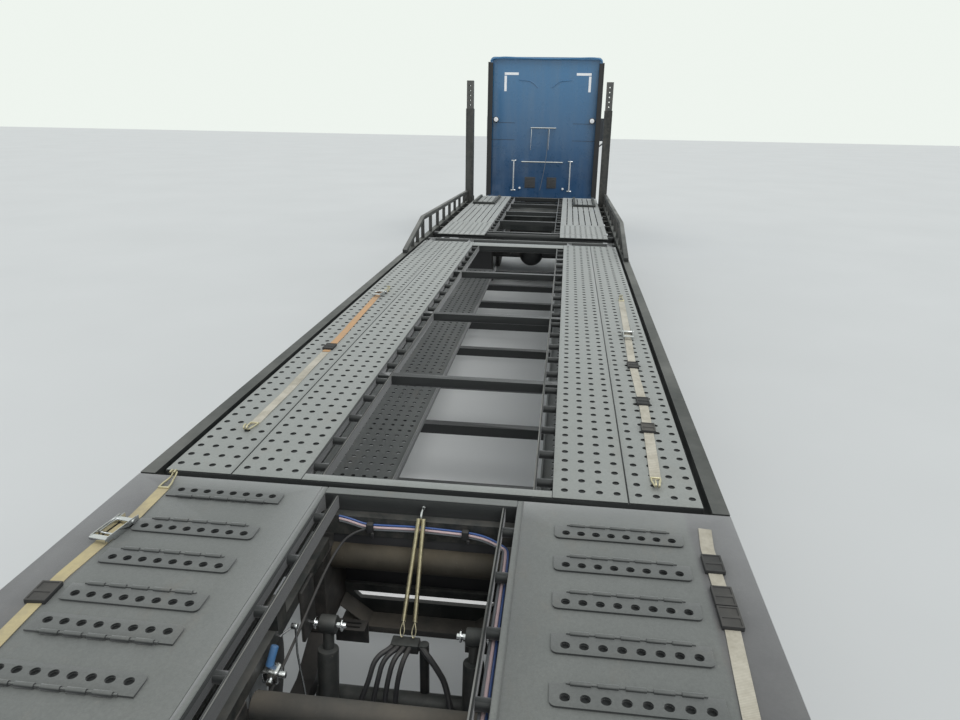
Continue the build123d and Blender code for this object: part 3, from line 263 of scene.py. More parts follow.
def bevel_edges(piece, width, segments, wanted):
    """Rounds the edges of a piece whose two ends pass the test."""
    pick(piece)
    bpy.ops.object.mode_set(mode="EDIT")
    bpy.ops.mesh.select_mode(type="EDGE")
    bpy.ops.mesh.select_all(action="DESELECT")
    mesh = bmesh.from_edit_mesh(piece.data)
    for edge in mesh.edges:
        edge.select = wanted(edge.verts[0].co, edge.verts[1].co)
    bmesh.update_edit_mesh(piece.data)
    bpy.ops.mesh.bevel(offset=width, segments=segments, affect="EDGES", clamp_overlap=False)
    bpy.ops.mesh.select_mode(type="VERT")
    bpy.ops.object.mode_set(mode="OBJECT")


def done(piece, body, finish, smooth=35):
    """Gives a finished piece its material, its smooth faces and the body that it rides on."""
    piece.data.materials.clear()
    piece.data.materials.append(finish)
    if piece.type == "MESH":
        pick(piece)
        bpy.ops.object.shade_smooth_by_angle(angle=math.radians(smooth))
    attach(piece, body)
    return piece


def fitted(name, body, finish, slot, *parts):
    """Joins parts into one piece under its own name, and finishes it."""
    return done(joined(name, parts), body, finish)


# Effects that several finishes share


def new_group(name, inputs, outputs):
    """An empty shader group with its sockets."""
    group = bpy.data.node_groups.new(name, "ShaderNodeTree")
    for label, kind, value in inputs:
        socket = group.interface.new_socket(label, in_out="INPUT", socket_type=kind)
        socket.default_value = value
    for label, kind in outputs:
        group.interface.new_socket(label, in_out="OUTPUT", socket_type=kind)
    return group


def node(tree, kind, **values):
    """A new shader node with values for its sockets and settings."""
    made = tree.nodes.new(kind)
    for key, value in values.items():
        if key in made.inputs:
            made.inputs[key].default_value = value
        else:
            setattr(made, key, value)
    return made


def object_place(tree):
    """The place on a piece, in metres from the vehicle's origin."""
    return node(tree, "ShaderNodeTexCoord").outputs["Object"]


def split_axes(tree, vector):
    """The X, Y and Z outputs of a vector."""
    apart = node(tree, "ShaderNodeSeparateXYZ")
    tree.links.new(vector, apart.inputs[0])
    return apart.outputs


def tinted(colour, factor):
    """A colour made darker or lighter."""
    return tuple(c * factor for c in colour)


def noise(tree, coordinates, scale, detail=4.0, roughness=0.6, stretch=None):
    """Cloudy variation, drawn out along an axis if a stretch is given."""
    source = coordinates
    if stretch:
        mapping = node(tree, "ShaderNodeMapping")
        mapping.inputs["Scale"].default_value = stretch
        tree.links.new(coordinates, mapping.inputs["Vector"])
        source = mapping.outputs["Vector"]
    made = node(tree, "ShaderNodeTexNoise", Scale=scale, Detail=detail, Roughness=roughness)
    tree.links.new(source, made.inputs["Vector"])
    return made.outputs["Fac"]


def ramp(tree, value, low, high, to_low=0.0, to_high=1.0):
    """A value brought from one range to another, and held within it."""
    made = node(tree, "ShaderNodeMapRange")
    for key, number in (("From Min", low), ("From Max", high), ("To Min", to_low), ("To Max", to_high)):
        made.inputs[key].default_value = number
    made.clamp = True
    tree.links.new(value, made.inputs["Value"])
    return made.outputs["Result"]


def combine(tree, operation, first, second):
    """Arithmetic on two values, each a socket or a number."""
    made = node(tree, "ShaderNodeMath", operation=operation)
    for socket, value in zip(made.inputs, (first, second)):
        if isinstance(value, (int, float)):
            socket.default_value = value
        else:
            tree.links.new(value, socket)
    return made.outputs[0]


def blended(tree, mask, first, second):
    """First colour where the mask is 0, second where it is 1."""
    made = node(tree, "ShaderNodeMix", data_type="RGBA")
    tree.links.new(mask, made.inputs["Factor"])
    for socket, value in ((made.inputs["A"], first), (made.inputs["B"], second)):
        colour = [s for s in made.inputs if s.name == socket.name and s.type == "RGBA"][0]
        if isinstance(value, tuple):
            colour.default_value = (*value, 1)
        else:
            tree.links.new(value, colour)
    return [s for s in made.outputs if s.type == "RGBA"][0]


def make_road_wear():
    """Dust on what faces up, worn specks, streaks that run down, and the grain of a painted face."""
    group = new_group(
        "road wear",
        [("Size", "NodeSocketFloat", 1.0)],
        [("Dust", "NodeSocketFloat"), ("Specks", "NodeSocketFloat"), ("Streaks", "NodeSocketFloat"),
         ("Mottle", "NodeSocketFloat"), ("Grain", "NodeSocketFloat")],
    )
    enter, leave = node(group, "NodeGroupInput"), node(group, "NodeGroupOutput")
    scaled = node(group, "ShaderNodeVectorMath", operation="SCALE")
    group.links.new(object_place(group), scaled.inputs[0])
    group.links.new(enter.outputs["Size"], scaled.inputs["Scale"])
    here = scaled.outputs[0]
    faces = split_axes(group, node(group, "ShaderNodeNewGeometry").outputs["Normal"])
    upward = ramp(group, faces["Z"], 0.2, 0.9)
    dust = combine(group, "MULTIPLY", upward, ramp(group, noise(group, here, 1.7, 6, 0.62), 0.35, 0.75))
    group.links.new(dust, leave.inputs["Dust"])
    group.links.new(ramp(group, noise(group, here, 34, 3, 0.7), 0.67, 0.74), leave.inputs["Specks"])
    sideways = combine(group, "SUBTRACT", 1.0, upward)
    streaks = combine(group, "MULTIPLY", sideways,
                      ramp(group, noise(group, here, 5, 5, 0.6, (1, 1, 0.12)), 0.45, 0.8))
    group.links.new(streaks, leave.inputs["Streaks"])
    group.links.new(noise(group, here, 4.5, 7, 0.65), leave.inputs["Mottle"])
    group.links.new(noise(group, here, 420, 3, 0.5), leave.inputs["Grain"])
    return group


def make_edge_wear():
    """Bare metal on the outer edges of a piece, broken up so that it looks rubbed."""
    group = new_group("edge wear", [("Reach", "NodeSocketFloat", 0.5)], [("Edge", "NodeSocketFloat")])
    enter, leave = node(group, "NodeGroupInput"), node(group, "NodeGroupOutput")
    ridge = ramp(group, node(group, "ShaderNodeNewGeometry").outputs["Pointiness"], 0.52, 0.60)
    broken = ramp(group, noise(group, object_place(group), 22, 4, 0.7), 0.4, 0.65)
    edge = combine(group, "MULTIPLY", combine(group, "MULTIPLY", ridge, broken), enter.outputs["Reach"])
    group.links.new(edge, leave.inputs["Edge"])
    return group


road_wear = make_road_wear()
edge_wear = make_edge_wear()


def new_finish(name):
    """A new material with its node tree and its main shader."""
    finish = bpy.data.materials.new(name)
    finish.use_nodes = True
    tree = finish.node_tree
    return finish, tree, tree.nodes["Principled BSDF"]


def placed_group(tree, group, **values):
    """A shared shader group placed in a material."""
    made = node(tree, "ShaderNodeGroup")
    made.node_tree = group
    for key, value in values.items():
        made.inputs[key].default_value = value
    return made


def bumped(tree, shader, height, strength, distance):
    """Fine relief on a material, from a height."""
    bump = node(tree, "ShaderNodeBump", Strength=strength, Distance=distance)
    tree.links.new(height, bump.inputs["Height"])
    tree.links.new(bump.outputs["Normal"], shader.inputs["Normal"])


def painted(name, colour, dust_colour, roughness=0.5, dust=0.5, streak=0.3, edge=0.4,
            edge_colour=(0.16, 0.14, 0.12), coat=0.0, grain=0.12, sky_highlight_colour=None):
    """Paint with road dust, specks, streaks and rubbed edges, and where a colour is given a painted highlight
    that turns it paler higher up.
    """
    finish, tree, shader = new_finish(name)
    wear = placed_group(tree, road_wear, Size=1.0)
    rubbed = placed_group(tree, edge_wear, Reach=edge)
    ground = blended(tree, wear.outputs["Mottle"], tinted(colour, 0.82), tinted(colour, 1.15))
    if sky_highlight_colour:
        # Painted highlight: from 1.6 m to 3.8 m up the colour turns to the given paler one, for the sky's
        # light on the upper faces.
        painted_height_highlight = ramp(tree, split_axes(tree, object_place(tree))["Z"], 1.6, 3.8)
        ground = blended(tree, painted_height_highlight, ground, sky_highlight_colour)
    dusty = blended(tree, combine(tree, "MULTIPLY", wear.outputs["Dust"], dust), ground, dust_colour)
    run_down = blended(tree, combine(tree, "MULTIPLY", wear.outputs["Streaks"], streak), dusty, dust_colour)
    specked = blended(tree, combine(tree, "MULTIPLY", wear.outputs["Specks"], 0.35), run_down, edge_colour)
    final = blended(tree, rubbed.outputs["Edge"], specked, edge_colour)
    tree.links.new(final, shader.inputs["Base Color"])
    mottled = ramp(tree, wear.outputs["Mottle"], 0.3, 0.7, roughness - 0.07, roughness + 0.07)
    rough = combine(tree, "ADD", mottled, combine(tree, "MULTIPLY", wear.outputs["Dust"], 0.25 * dust))
    tree.links.new(rough, shader.inputs["Roughness"])
    if coat:
        shader.inputs["Coat Weight"].default_value = coat
        shader.inputs["Coat Roughness"].default_value = 0.08
    bumped(tree, shader, wear.outputs["Grain"], grain, 0.001)
    return finish


def metal(name, colour, roughness, smudge=0.12, brush=None):
    """Bare or plated metal with smudges and faint brushed lines."""
    finish, tree, shader = new_finish(name)
    place = object_place(tree)
    smudges = noise(tree, place, 9, 5, 0.65)
    shade = blended(tree, smudges, tinted(colour, 0.8), colour)
    tree.links.new(shade, shader.inputs["Base Color"])
    tree.links.new(ramp(tree, smudges, 0.3, 0.7, roughness, roughness + smudge), shader.inputs["Roughness"])
    shader.inputs["Metallic"].default_value = 1.0
    bumped(tree, shader, noise(tree, place, 260, 2, 0.5, brush or (1, 1, 1)), 0.06, 0.0006)
    return finish


def soft_plastic(name, colour, roughness=0.6, grain=300, strength=0.25):
    """Moulded plastic or rubber with a fine grain and a little bloom."""
    finish, tree, shader = new_finish(name)
    wear = placed_group(tree, road_wear, Size=1.5)
    place = object_place(tree)
    bloom = blended(tree, wear.outputs["Mottle"], colour, tuple(c * 1.5 + 0.006 for c in colour))
    dusty = blended(tree, combine(tree, "MULTIPLY", wear.outputs["Dust"], 0.35), bloom, (0.22, 0.20, 0.17))
    tree.links.new(dusty, shader.inputs["Base Color"])
    tree.links.new(ramp(tree, wear.outputs["Mottle"], 0.3, 0.7, roughness - 0.08, roughness + 0.08),
                   shader.inputs["Roughness"])
    bumped(tree, shader, noise(tree, place, grain, 3, 0.6), strength, 0.0008)
    return finish


def lamp_lens(name, colour, glow=0.0):
    """A moulded lens with fine prisms behind its face."""
    finish, tree, shader = new_finish(name)
    place = object_place(tree)
    prisms = node(tree, "ShaderNodeTexVoronoi", Scale=110.0)
    tree.links.new(place, prisms.inputs["Vector"])
    shade = blended(tree, prisms.outputs["Distance"], colour, tuple(min(1, c * 1.3 + 0.03) for c in colour))
    tree.links.new(shade, shader.inputs["Base Color"])
    tree.links.new(ramp(tree, prisms.outputs["Distance"], 0, 1, 0.1, 0.22), shader.inputs["Roughness"])
    shader.inputs["Coat Weight"].default_value = 0.6
    # A glow makes the face give light though no lamp is lit: painted light, used only for the corner marks'
    # reflector and the slot's strip.
    if glow:
        shader.inputs["Emission Strength"].default_value = glow
        tree.links.new(shade, shader.inputs["Emission Color"])
    bumped(tree, shader, prisms.outputs["Distance"], 0.3, 0.001)
    return finish


def clear_glass():
    """The cab's glass, with a thin film of dust."""
    finish, tree, shader = new_finish("cab glass")
    place = object_place(tree)
    film = noise(tree, place, 6, 4, 0.6)
    tree.links.new(blended(tree, film, (0.80, 0.90, 0.88), (0.90, 0.95, 0.94)), shader.inputs["Base Color"])
    tree.links.new(ramp(tree, film, 0.4, 0.8, 0.02, 0.10), shader.inputs["Roughness"])
    shader.inputs["Transmission Weight"].default_value = 0.92
    shader.inputs["IOR"].default_value = 1.45
    return finish


def woven(name, colour, dirt):
    """Polyester webbing: a woven face along the strap's own length, with worn and dirty stretches."""
    finish, tree, shader = new_finish(name)
    spread = node(tree, "ShaderNodeUVMap", uv_map="UVMap").outputs["UV"]
    weave = node(tree, "ShaderNodeTexWave", wave_type="BANDS", bands_direction="X", Scale=1.0, Distortion=0.4)
    threads = node(tree, "ShaderNodeMapping")
    threads.inputs["Scale"].default_value = (60, 6, 1)
    tree.links.new(spread, threads.inputs["Vector"])
    tree.links.new(threads.outputs["Vector"], weave.inputs["Vector"])
    place = object_place(tree)
    grime = ramp(tree, noise(tree, place, 7, 6, 0.7), 0.42, 0.72)
    clean = blended(tree, weave.outputs["Fac"], tinted(colour, 0.8), colour)
    tree.links.new(blended(tree, grime, clean, dirt), shader.inputs["Base Color"])
    tree.links.new(ramp(tree, grime, 0, 1, 0.75, 0.92), shader.inputs["Roughness"])
    shader.inputs["Sheen Weight"].default_value = 0.25
    bumped(tree, shader, weave.outputs["Fac"], 0.5, 0.0008)
    return finish


def upholstery(name, colour):
    """Woven cloth of the seats and the bunk."""
    finish, tree, shader = new_finish(name)
    place = object_place(tree)
    threads = node(tree, "ShaderNodeTexVoronoi", Scale=700.0)
    tree.links.new(place, threads.inputs["Vector"])
    worn = noise(tree, place, 8, 4, 0.6)
    shade = blended(tree, worn, tinted(colour, 0.8), tinted(colour, 1.2))
    tree.links.new(shade, shader.inputs["Base Color"])
    tree.links.new(ramp(tree, worn, 0.3, 0.7, 0.8, 0.95), shader.inputs["Roughness"])
    shader.inputs["Sheen Weight"].default_value = 0.3
    bumped(tree, shader, threads.outputs["Distance"], 0.4, 0.0006)
    return finish


def deck_paint(name, colour, margin_colour=None, margin_from=1.09, plates_from=1.3125):
    """Dull gritty paint on a deck's plates, salted and stained, near black on the frame below them, and near
    black on faces that don't look up as painted shade.
    """
    finish, tree, shader = new_finish(name)
    wear = placed_group(tree, road_wear, Size=1.0)
    place = object_place(tree)
    ground = blended(tree, wear.outputs["Mottle"], tinted(colour, 0.8), tinted(colour, 1.2))
    apart = split_axes(tree, place)
    if margin_colour:
        out = combine(tree, "ABSOLUTE", apart["Y"], 0)
        ground = blended(tree, ramp(tree, out, margin_from, margin_from + 0.02), ground, margin_colour)
    patches = ramp(tree, noise(tree, place, 0.9, 5, 0.6), 0.4, 0.75)
    salt = combine(tree, "MULTIPLY", wear.outputs["Dust"], patches)
    salted = blended(tree, combine(tree, "MULTIPLY", salt, 0.42), ground, (0.30, 0.30, 0.27))
    brown = ramp(tree, noise(tree, place, 2.3, 7, 0.7, (1, 2.2, 1)), 0.56, 0.78)
    stained = blended(tree, combine(tree, "MULTIPLY", brown, 0.30), salted, (0.20, 0.15, 0.10))
    specks = combine(tree, "MULTIPLY", wear.outputs["Specks"], 0.30)
    specked = blended(tree, specks, stained, (0.26, 0.25, 0.22))
    grit = ramp(tree, noise(tree, place, 95, 5, 0.75), 0.35, 0.65)
    worn = blended(tree, combine(tree, "MULTIPLY", grit, 0.32), specked, tinted(colour, 0.45))
    # Faces that don't look up turn near black as painted shade on the plates' sides; below the plates' level
    # the near black is the frame's own black paint.
    faces = split_axes(tree, node(tree, "ShaderNodeNewGeometry").outputs["Normal"])
    plate_top_vs_frame_and_side_shade = combine(tree, "MULTIPLY", ramp(tree, faces["Z"], 0.35, 0.75),
                        ramp(tree, apart["Z"], plates_from, plates_from + 0.003))
    final = blended(tree, plate_top_vs_frame_and_side_shade, (0.017, 0.019, 0.019), worn)
    tree.links.new(final, shader.inputs["Base Color"])
    tree.links.new(ramp(tree, wear.outputs["Mottle"], 0.3, 0.7, 0.46, 0.66), shader.inputs["Roughness"])
    shader.inputs["Sheen Weight"].default_value = 0.45
    shader.inputs["Sheen Roughness"].default_value = 0.45
    bumped(tree, shader, noise(tree, place, 240, 4, 0.7), 0.35, 0.0012)
    return finish


def tyre_rubber():
    """Worn rubber, paler with dust near the ground."""
    finish, tree, shader = new_finish("tyre rubber")
    wear = placed_group(tree, road_wear, Size=2.0)
    place = object_place(tree)
    low = ramp(tree, split_axes(tree, place)["Z"], 0.0, 0.25, 0.55, 0.1)
    grit = combine(tree, "MULTIPLY", noise(tree, place, 14, 6, 0.7), low)
    rubber = blended(tree, wear.outputs["Mottle"], (0.012, 0.012, 0.013), (0.028, 0.028, 0.028))
    tree.links.new(blended(tree, grit, rubber, (0.20, 0.18, 0.15)), shader.inputs["Base Color"])
    tree.links.new(ramp(tree, wear.outputs["Mottle"], 0.3, 0.7, 0.62, 0.82), shader.inputs["Roughness"])
    bumped(tree, shader, noise(tree, place, 180, 3, 0.6), 0.3, 0.001)
    return finish


# The middle and front decks' paints are lighter copies of the rear deck's, the front one lightest: partly
# more salt dust, partly painted sheen of decks seen at a grazing angle.
deck_black = deck_paint("deck paint", (0.262, 0.276, 0.256))
front_deck_paint_and_sheen = deck_paint("front deck paint", (0.325, 0.338, 0.314))
lower_deck_black = deck_paint("lower deck paint", (0.090, 0.098, 0.094), plates_from=0.512)
flap_black = deck_paint("chock flap paint", (0.104, 0.110, 0.105))
# Rail paint: real dust on the raised rails, and on the thin strips of the inner rails a painted highlight.
rail_dust_and_highlight = painted("rail paint", (0.030, 0.033, 0.033), (0.30, 0.30, 0.28), 0.5, 0.9, 0.2, 0.5)
rear_deck_black = deck_paint("rear deck paint", (0.138, 0.146, 0.137), (0.096, 0.093, 0.096), 1.095)
frame_black = painted("frame paint", (0.017, 0.020, 0.020), (0.24, 0.24, 0.22), 0.48, 0.6, 0.22, 0.3)
chassis_black = painted("chassis paint", (0.016, 0.017, 0.018), (0.16, 0.14, 0.12), 0.52, 0.45, 0.35, 0.25)
dusty_steel = painted("dusty steel", (0.040, 0.040, 0.038), (0.20, 0.17, 0.13), 0.7, 0.75, 0.3, 0.2)
dusty_tube = painted("dusty tube", (0.042, 0.036, 0.026), (0.15, 0.125, 0.085), 0.75, 0.9, 0.3, 0.2)
post_grey = painted("post paint", (0.075, 0.080, 0.078), (0.20, 0.19, 0.17), 0.5, 0.3, 0.4, 0.5)
# The cab's blue turns paler towards the roof: a painted highlight of the sky's light on the upper wall.
cab_blue = painted("cab paint", (0.022, 0.078, 0.178), (0.20, 0.24, 0.27), 0.30, 0.35, 0.22, 0.05,
                   (0.03, 0.05, 0.08), coat=0.7, grain=0.03, sky_highlight_colour=(0.052, 0.195, 0.385))
bumper_grey = painted("bumper plastic", (0.045, 0.048, 0.052), (0.18, 0.17, 0.15), 0.55, 0.4, 0.3, 0.1)
engine_iron = painted("engine paint", (0.05, 0.05, 0.05), (0.12, 0.10, 0.08), 0.6, 0.5, 0.2, 0.3)
chrome = metal("bright chrome", (0.80, 0.81, 0.83), 0.08)
rod_chrome = metal("rod chrome", (0.68, 0.69, 0.70), 0.16)
tank_aluminium = metal("tank aluminium", (0.70, 0.71, 0.72), 0.26, 0.12, (0.2, 4, 4))
wheel_metal = metal("wheel aluminium", (0.62, 0.63, 0.64), 0.30, 0.2)
zinc_gold = metal("spring plating", (0.66, 0.60, 0.42), 0.34)
rubber = soft_plastic("rubber", (0.018, 0.018, 0.019), 0.68)
dash_plastic = soft_plastic("dash plastic", (0.045, 0.047, 0.050), 0.62, 500)
hose_black = soft_plastic("hose rubber", (0.022, 0.022, 0.024), 0.55)
line_blue = soft_plastic("blue line", (0.035, 0.085, 0.26), 0.42, 500, 0.1)
line_pink = soft_plastic("red and white line", (0.60, 0.45, 0.45), 0.42, 500, 0.1)
line_grey = soft_plastic("grey line", (0.13, 0.14, 0.15), 0.45, 500, 0.1)
handle_blue = soft_plastic("blue handle", (0.045, 0.13, 0.27), 0.5, 400, 0.2)
glass = clear_glass()
clear_lens = lamp_lens("clear lens", (0.78, 0.80, 0.82))
red_lens = lamp_lens("red lens", (0.42, 0.015, 0.012))
amber_lens = lamp_lens("amber lens", (0.70, 0.24, 0.02))
# White reflector with a faint glow, though it is no lamp: painted light.
faint_glow_reflector = lamp_lens("white reflector with painted glow", (0.75, 0.77, 0.78), 0.12)
# Glows though it is no lamp: painted light for bright ground seen through a slot.
painted_glow_strip = lamp_lens("painted glow strip", (0.82, 0.84, 0.82), 0.55)
tyre = tyre_rubber()
seat_cloth = upholstery("seat cloth", (0.10, 0.105, 0.115))
bunk_cloth = upholstery("bunk cloth", (0.20, 0.21, 0.23))
web_cream = woven("cream webbing", (0.56, 0.52, 0.42), (0.30, 0.27, 0.20))
web_yellow = woven("yellow webbing", (0.55, 0.46, 0.24), (0.33, 0.28, 0.18))
web_orange = woven("orange webbing", (0.62, 0.33, 0.12), (0.40, 0.26, 0.14))

# What each CAD node is finished in

finishes = {
    "chassis_frame": chassis_black, "fifth_wheel": chassis_black, "front_axle": chassis_black,
    "knuckle_left": chassis_black, "knuckle_right": chassis_black, "drive_axles": chassis_black,
    "engine_and_radiator": engine_iron, "fuel_tanks": tank_aluminium, "side_fairings": cab_blue,
    "front_bumper": bumper_grey, "cab_shell": cab_blue, "sleeper_shell": cab_blue, "roof_cap": cab_blue,
    "cab_glass": glass, "window_left": glass, "window_right": glass, "door_left": cab_blue,
    "door_right": cab_blue, "dashboard": dash_plastic, "seats_and_bunk": seat_cloth,
    "extenders_and_mudflaps": rubber, "rear_wall_fittings": chrome, "mirrors": bumper_grey, "hood": cab_blue,
    "grille": chrome, "headlamps": clear_lens, "side_frames": frame_black, "trailer_frame": frame_black,
    "rear_deck": rear_deck_black, "mid_deck": deck_black, "front_deck": front_deck_paint_and_sheen,
    "lower_deck": lower_deck_black, "post_extensions": post_grey, "lift_barrels": frame_black,
    "lift_rods": rod_chrome, "trailer_axles": chassis_black, "tail_lamps": red_lens, "air_lines": line_grey,
    "rear_straps": web_cream, "mid_straps": web_cream,
}
for name, cad_node in nodes.items():
    if "tyre" in name:
        finish = tyre
    elif "wheel" in name and name != "fifth_wheel":
        finish = wheel_metal
    else:
        finish = finishes[name]
    cad_node.data.materials.clear()
    cad_node.data.materials.append(finish)


# Camera, light and floor

LENS, SENSOR_WIDTH = 27.08, 36.0
CAMERA_PLACE = (-9.725, -0.547, 2.887)
CAMERA_RIGHT = (0.1171, -0.993, 0.0158)
CAMERA_UP = (0.3226, 0.053, 0.9451)
CAMERA_BACK = (-0.9393, -0.1056, 0.3263)


def set_camera():
    """The photographer stands on the rear deck and looks forward over the decks to the cab."""
    camera = bpy.data.cameras.new("camera")
    camera.lens = LENS
    camera.sensor_width = SENSOR_WIDTH
    camera.clip_end = 300
    holder = bpy.data.objects.new("camera", camera)
    scene.collection.objects.link(holder)
    turn = Matrix((CAMERA_RIGHT, CAMERA_UP, CAMERA_BACK)).transposed().to_4x4()
    holder.matrix_world = Matrix.Translation(CAMERA_PLACE) @ turn
    scene.camera = holder


def set_light():
    """An even overcast sky, with one wide soft lamp above and behind the camera."""
    world = bpy.data.worlds.new("sky")
    world.use_nodes = True
    scene.world = world
    tree = world.node_tree
    sky = tree.nodes["Background"]
    sky.inputs["Color"].default_value = (0.86, 0.90, 0.93, 1)
    sky.inputs["Strength"].default_value = 0.80
    backdrop = node(tree, "ShaderNodeBackground")
    backdrop.inputs["Color"].default_value = (0.86, 0.91, 0.86, 1)
    backdrop.inputs["Strength"].default_value = 1.0
    path = node(tree, "ShaderNodeLightPath")
    indirect = combine(tree, "MAXIMUM", path.outputs["Is Glossy Ray"], path.outputs["Is Transmission Ray"])
    seen = combine(tree, "MAXIMUM", path.outputs["Is Camera Ray"], indirect)
    mix = node(tree, "ShaderNodeMixShader")
    tree.links.new(seen, mix.inputs[0])
    tree.links.new(sky.outputs[0], mix.inputs[1])
    tree.links.new(backdrop.outputs[0], mix.inputs[2])
    tree.links.new(mix.outputs[0], tree.nodes["World Output"].inputs["Surface"])
    lamp = bpy.data.lights.new("soft lamp", "SUN")
    lamp.energy = 1.1
    lamp.angle = math.radians(40)
    holder = bpy.data.objects.new("soft lamp", lamp)
    scene.collection.objects.link(holder)
    holder.rotation_euler = (math.radians(22), math.radians(-24), 0)
    scene.view_settings.view_transform = "Standard"


def lay_floor():
    """A plain pale ground."""
    pick_nothing()
    bpy.ops.mesh.primitive_plane_add(size=160)
    floor = bpy.context.object
    floor.name = "floor"
    finish, tree, shader = new_finish("pale floor")
    place = object_place(tree)
    tree.links.new(blended(tree, noise(tree, place, 0.4, 3, 0.5), (0.60, 0.61, 0.60), (0.66, 0.67, 0.66)),
                   shader.inputs["Base Color"])
    shader.inputs["Roughness"].default_value = 0.9
    floor.data.materials.append(finish)


set_camera()
set_light()
lay_floor()

# Wheels and tyres

WHEEL_BOLTS, BOLT_CIRCLE = 10, 0.1425
HAND_HOLES, HAND_HOLE_CIRCLE = 10, 0.2125
TYRE_STEPS = 72
# One road tyre's section from its bead to the middle of the tread: (share of half the width, radius)
TYRE_SECTION = (
    (0.70, BEAD_RADIUS), (0.80, 0.300), (0.93, 0.335), (1.00, 0.385), (0.99, 0.430), (0.93, 0.462),
    (0.90, 0.474), (0.86, 0.490), (0.80, 0.498), (0.62, 0.4995), (0.60, 0.487), (0.54, 0.487),
    (0.52, 0.500), (0.24, 0.500), (0.22, 0.486), (0.14, 0.486), (0.12, 0.500),
)


def road_tyre(name, lugged):
    """One tyre round the origin: rounded shoulders, grooved tread and, on a drive axle, open lugs."""
    half = TYRE_WIDTH / 2
    outer = [(share * half, radius) for share, radius in TYRE_SECTION]
    profile = outer + [(-y, radius) for y, radius in reversed(outer)]
    piece = turned(name, profile, (0, 0, 0), TYRE_STEPS)
    if lugged:
        # Every third step of the tread's outer rows is pressed in, which leaves open lugs
        step = math.tau / TYRE_STEPS
        for vertex in piece.data.vertices:
            x, y, z = vertex.co
            radius = math.hypot(x, z)
            turn = round(math.atan2(z, x) / step) % TYRE_STEPS
            if radius > 0.488 and abs(y) > 0.5 * half and turn % 3 == 0:
                keep = 0.484 / radius
                vertex.co = (x * keep, y, z * keep)
    return piece


def wheel_nuts(name, side, face_y):
    """The nuts round a hub, on the bolt circle."""
    nuts = []
    for index in range(WHEEL_BOLTS):
        turn = math.tau * index / WHEEL_BOLTS + 0.3
        x, z = BOLT_CIRCLE * math.cos(turn), BOLT_CIRCLE * math.sin(turn)
        nuts.append(cross_bar("nut", x, z, side * face_y, side * (face_y + 0.030), 0.019, 6, 0.003))
    return joined(name, nuts)


def hand_holes(x, side, face_y):
    """Round cutters for the hand holes of one disc."""
    cutters = []
    for index in range(HAND_HOLES):
        turn = math.tau * index / HAND_HOLES
        across, up = HAND_HOLE_CIRCLE * math.cos(turn), HAND_HOLE_CIRCLE * math.sin(turn)
        cutters.append(cross_bar("hand_hole", x + across, TYRE_RADIUS + up, side * (face_y - 0.055),
                                 side * (face_y + 0.055), 0.026, 20, 0))
    return joined("hand_holes", cutters)


def dress_wheels():
    """Tyres with their treads, rims with their hand holes, and nuts, at every wheel."""
    steer_tyre, drive_tyre = road_tyre("steer_tyre_pattern", False), road_tyre("drive_tyre_pattern", True)
    stations = [("front", 10.275, steer_tyre)]
    stations += [("drive_1", 4.335, drive_tyre), ("drive_2", 3.015, drive_tyre)]
    stations += [("trailer_1", -7.555, steer_tyre), ("trailer_2", -8.795, steer_tyre)]
    for station, x, pattern in stations:
        for side, tag in SIDES:
            front = station == "front"
            body = f"front_wheel_{tag}_body" if front else f"{station}_{tag}_body"
            rows = (1.040,) if front else (1.100, 0.770)
            covers = [copied(pattern, f"{station}_tyre_{tag}_{row}", (x, side * y, TYRE_RADIUS))
                      for row, y in enumerate(rows)]
            rubber_ring = joined(f"{station}_road_tyres_{tag}", covers)
            done(rubber_ring, body, tyre, 30)
            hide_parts(f"front_tyre_{tag}" if front else f"{station}_tyres_{tag}")
            node_name = f"front_wheel_{tag}" if front else f"{station}_wheels_{tag}"
            rim = merged_copy(node_name, f"{node_name}_pierced")
            cut_away(rim, hand_holes(x, side, 1.125 if front else 0.935))
            done(rim, body, wheel_metal, 30)
            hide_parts(node_name)
            nuts = wheel_nuts(f"{station}_nuts_{tag}", side, 0.0)
            face = 1.135 if front else 0.950
            nuts.location = (x, side * face, TYRE_RADIUS)
            set_place(nuts)
            done(nuts, body, chrome, 30)
    for pattern in (steer_tyre, drive_tyre):
        bpy.data.objects.remove(pattern)


dress_wheels()

# Decks

HOLE_RADIUS = 0.016
HOLE_PITCH_X, HOLE_PITCH_Y = 0.0957, 0.076
HOLE_FIRST_X = -6.890
HOLE_ROWS = 65
HOLE_MARGIN = 0.046
SEAM, SEAM_GAP = 0.885, 0.003
MID_INNER = 0.560
LAYER_DEPTH, PLATE_DEPTH = 0.0078, 0.0077
FLUSH = 0.002
CROSS_PLATES = (("front", -0.925, MID_FRONT - FLUSH), ("rear", MID_REAR + FLUSH, -6.902))
TAIL_X = -11.575
REAR_INNER, REAR_OUTER = 0.415, 1.295
FLAP_FIRST_X = -7.190
FLAP_PITCH = 0.212
FLAP_ROWS = 20
FLAP_DEPTH = 0.088
FLAPS_TURNED_FORWARD = (0, 4, 5)
FLAP_LEFT_SHIFT = 0.030
FLAP_MIDDLE_Y = 0.8225
FLAP_HALF_WIDTH = 0.2475
FLAP_HOLES = 8
FLAP_HOLE_INSET = 0.0528
FLAP_HOLE_PITCH = 0.058
FLAP_HOLE_RADIUS = 0.0158
KNUCKLE_PITCH = 0.079
GROOVE_Y, GROOVE_HALF_WIDTH = 0.4405, 0.0013
LOWER_TOP = 0.518
LOWER_ROWS, LOWER_COLUMNS = 82, 6
TRACK_FIRST_Y, TRACK_PITCH_Y = 0.566, 0.072
PLANK_FIRST_Y, PLANK_WIDTH = 0.500, 0.0907
PLANK_GAPS = 6
FRONT_STUBS, FRONT_STUB_PITCH = 14, 0.290
FRONT_RUNGS = (0.55, 1.10, 1.65, 2.20, 2.75, 3.30)
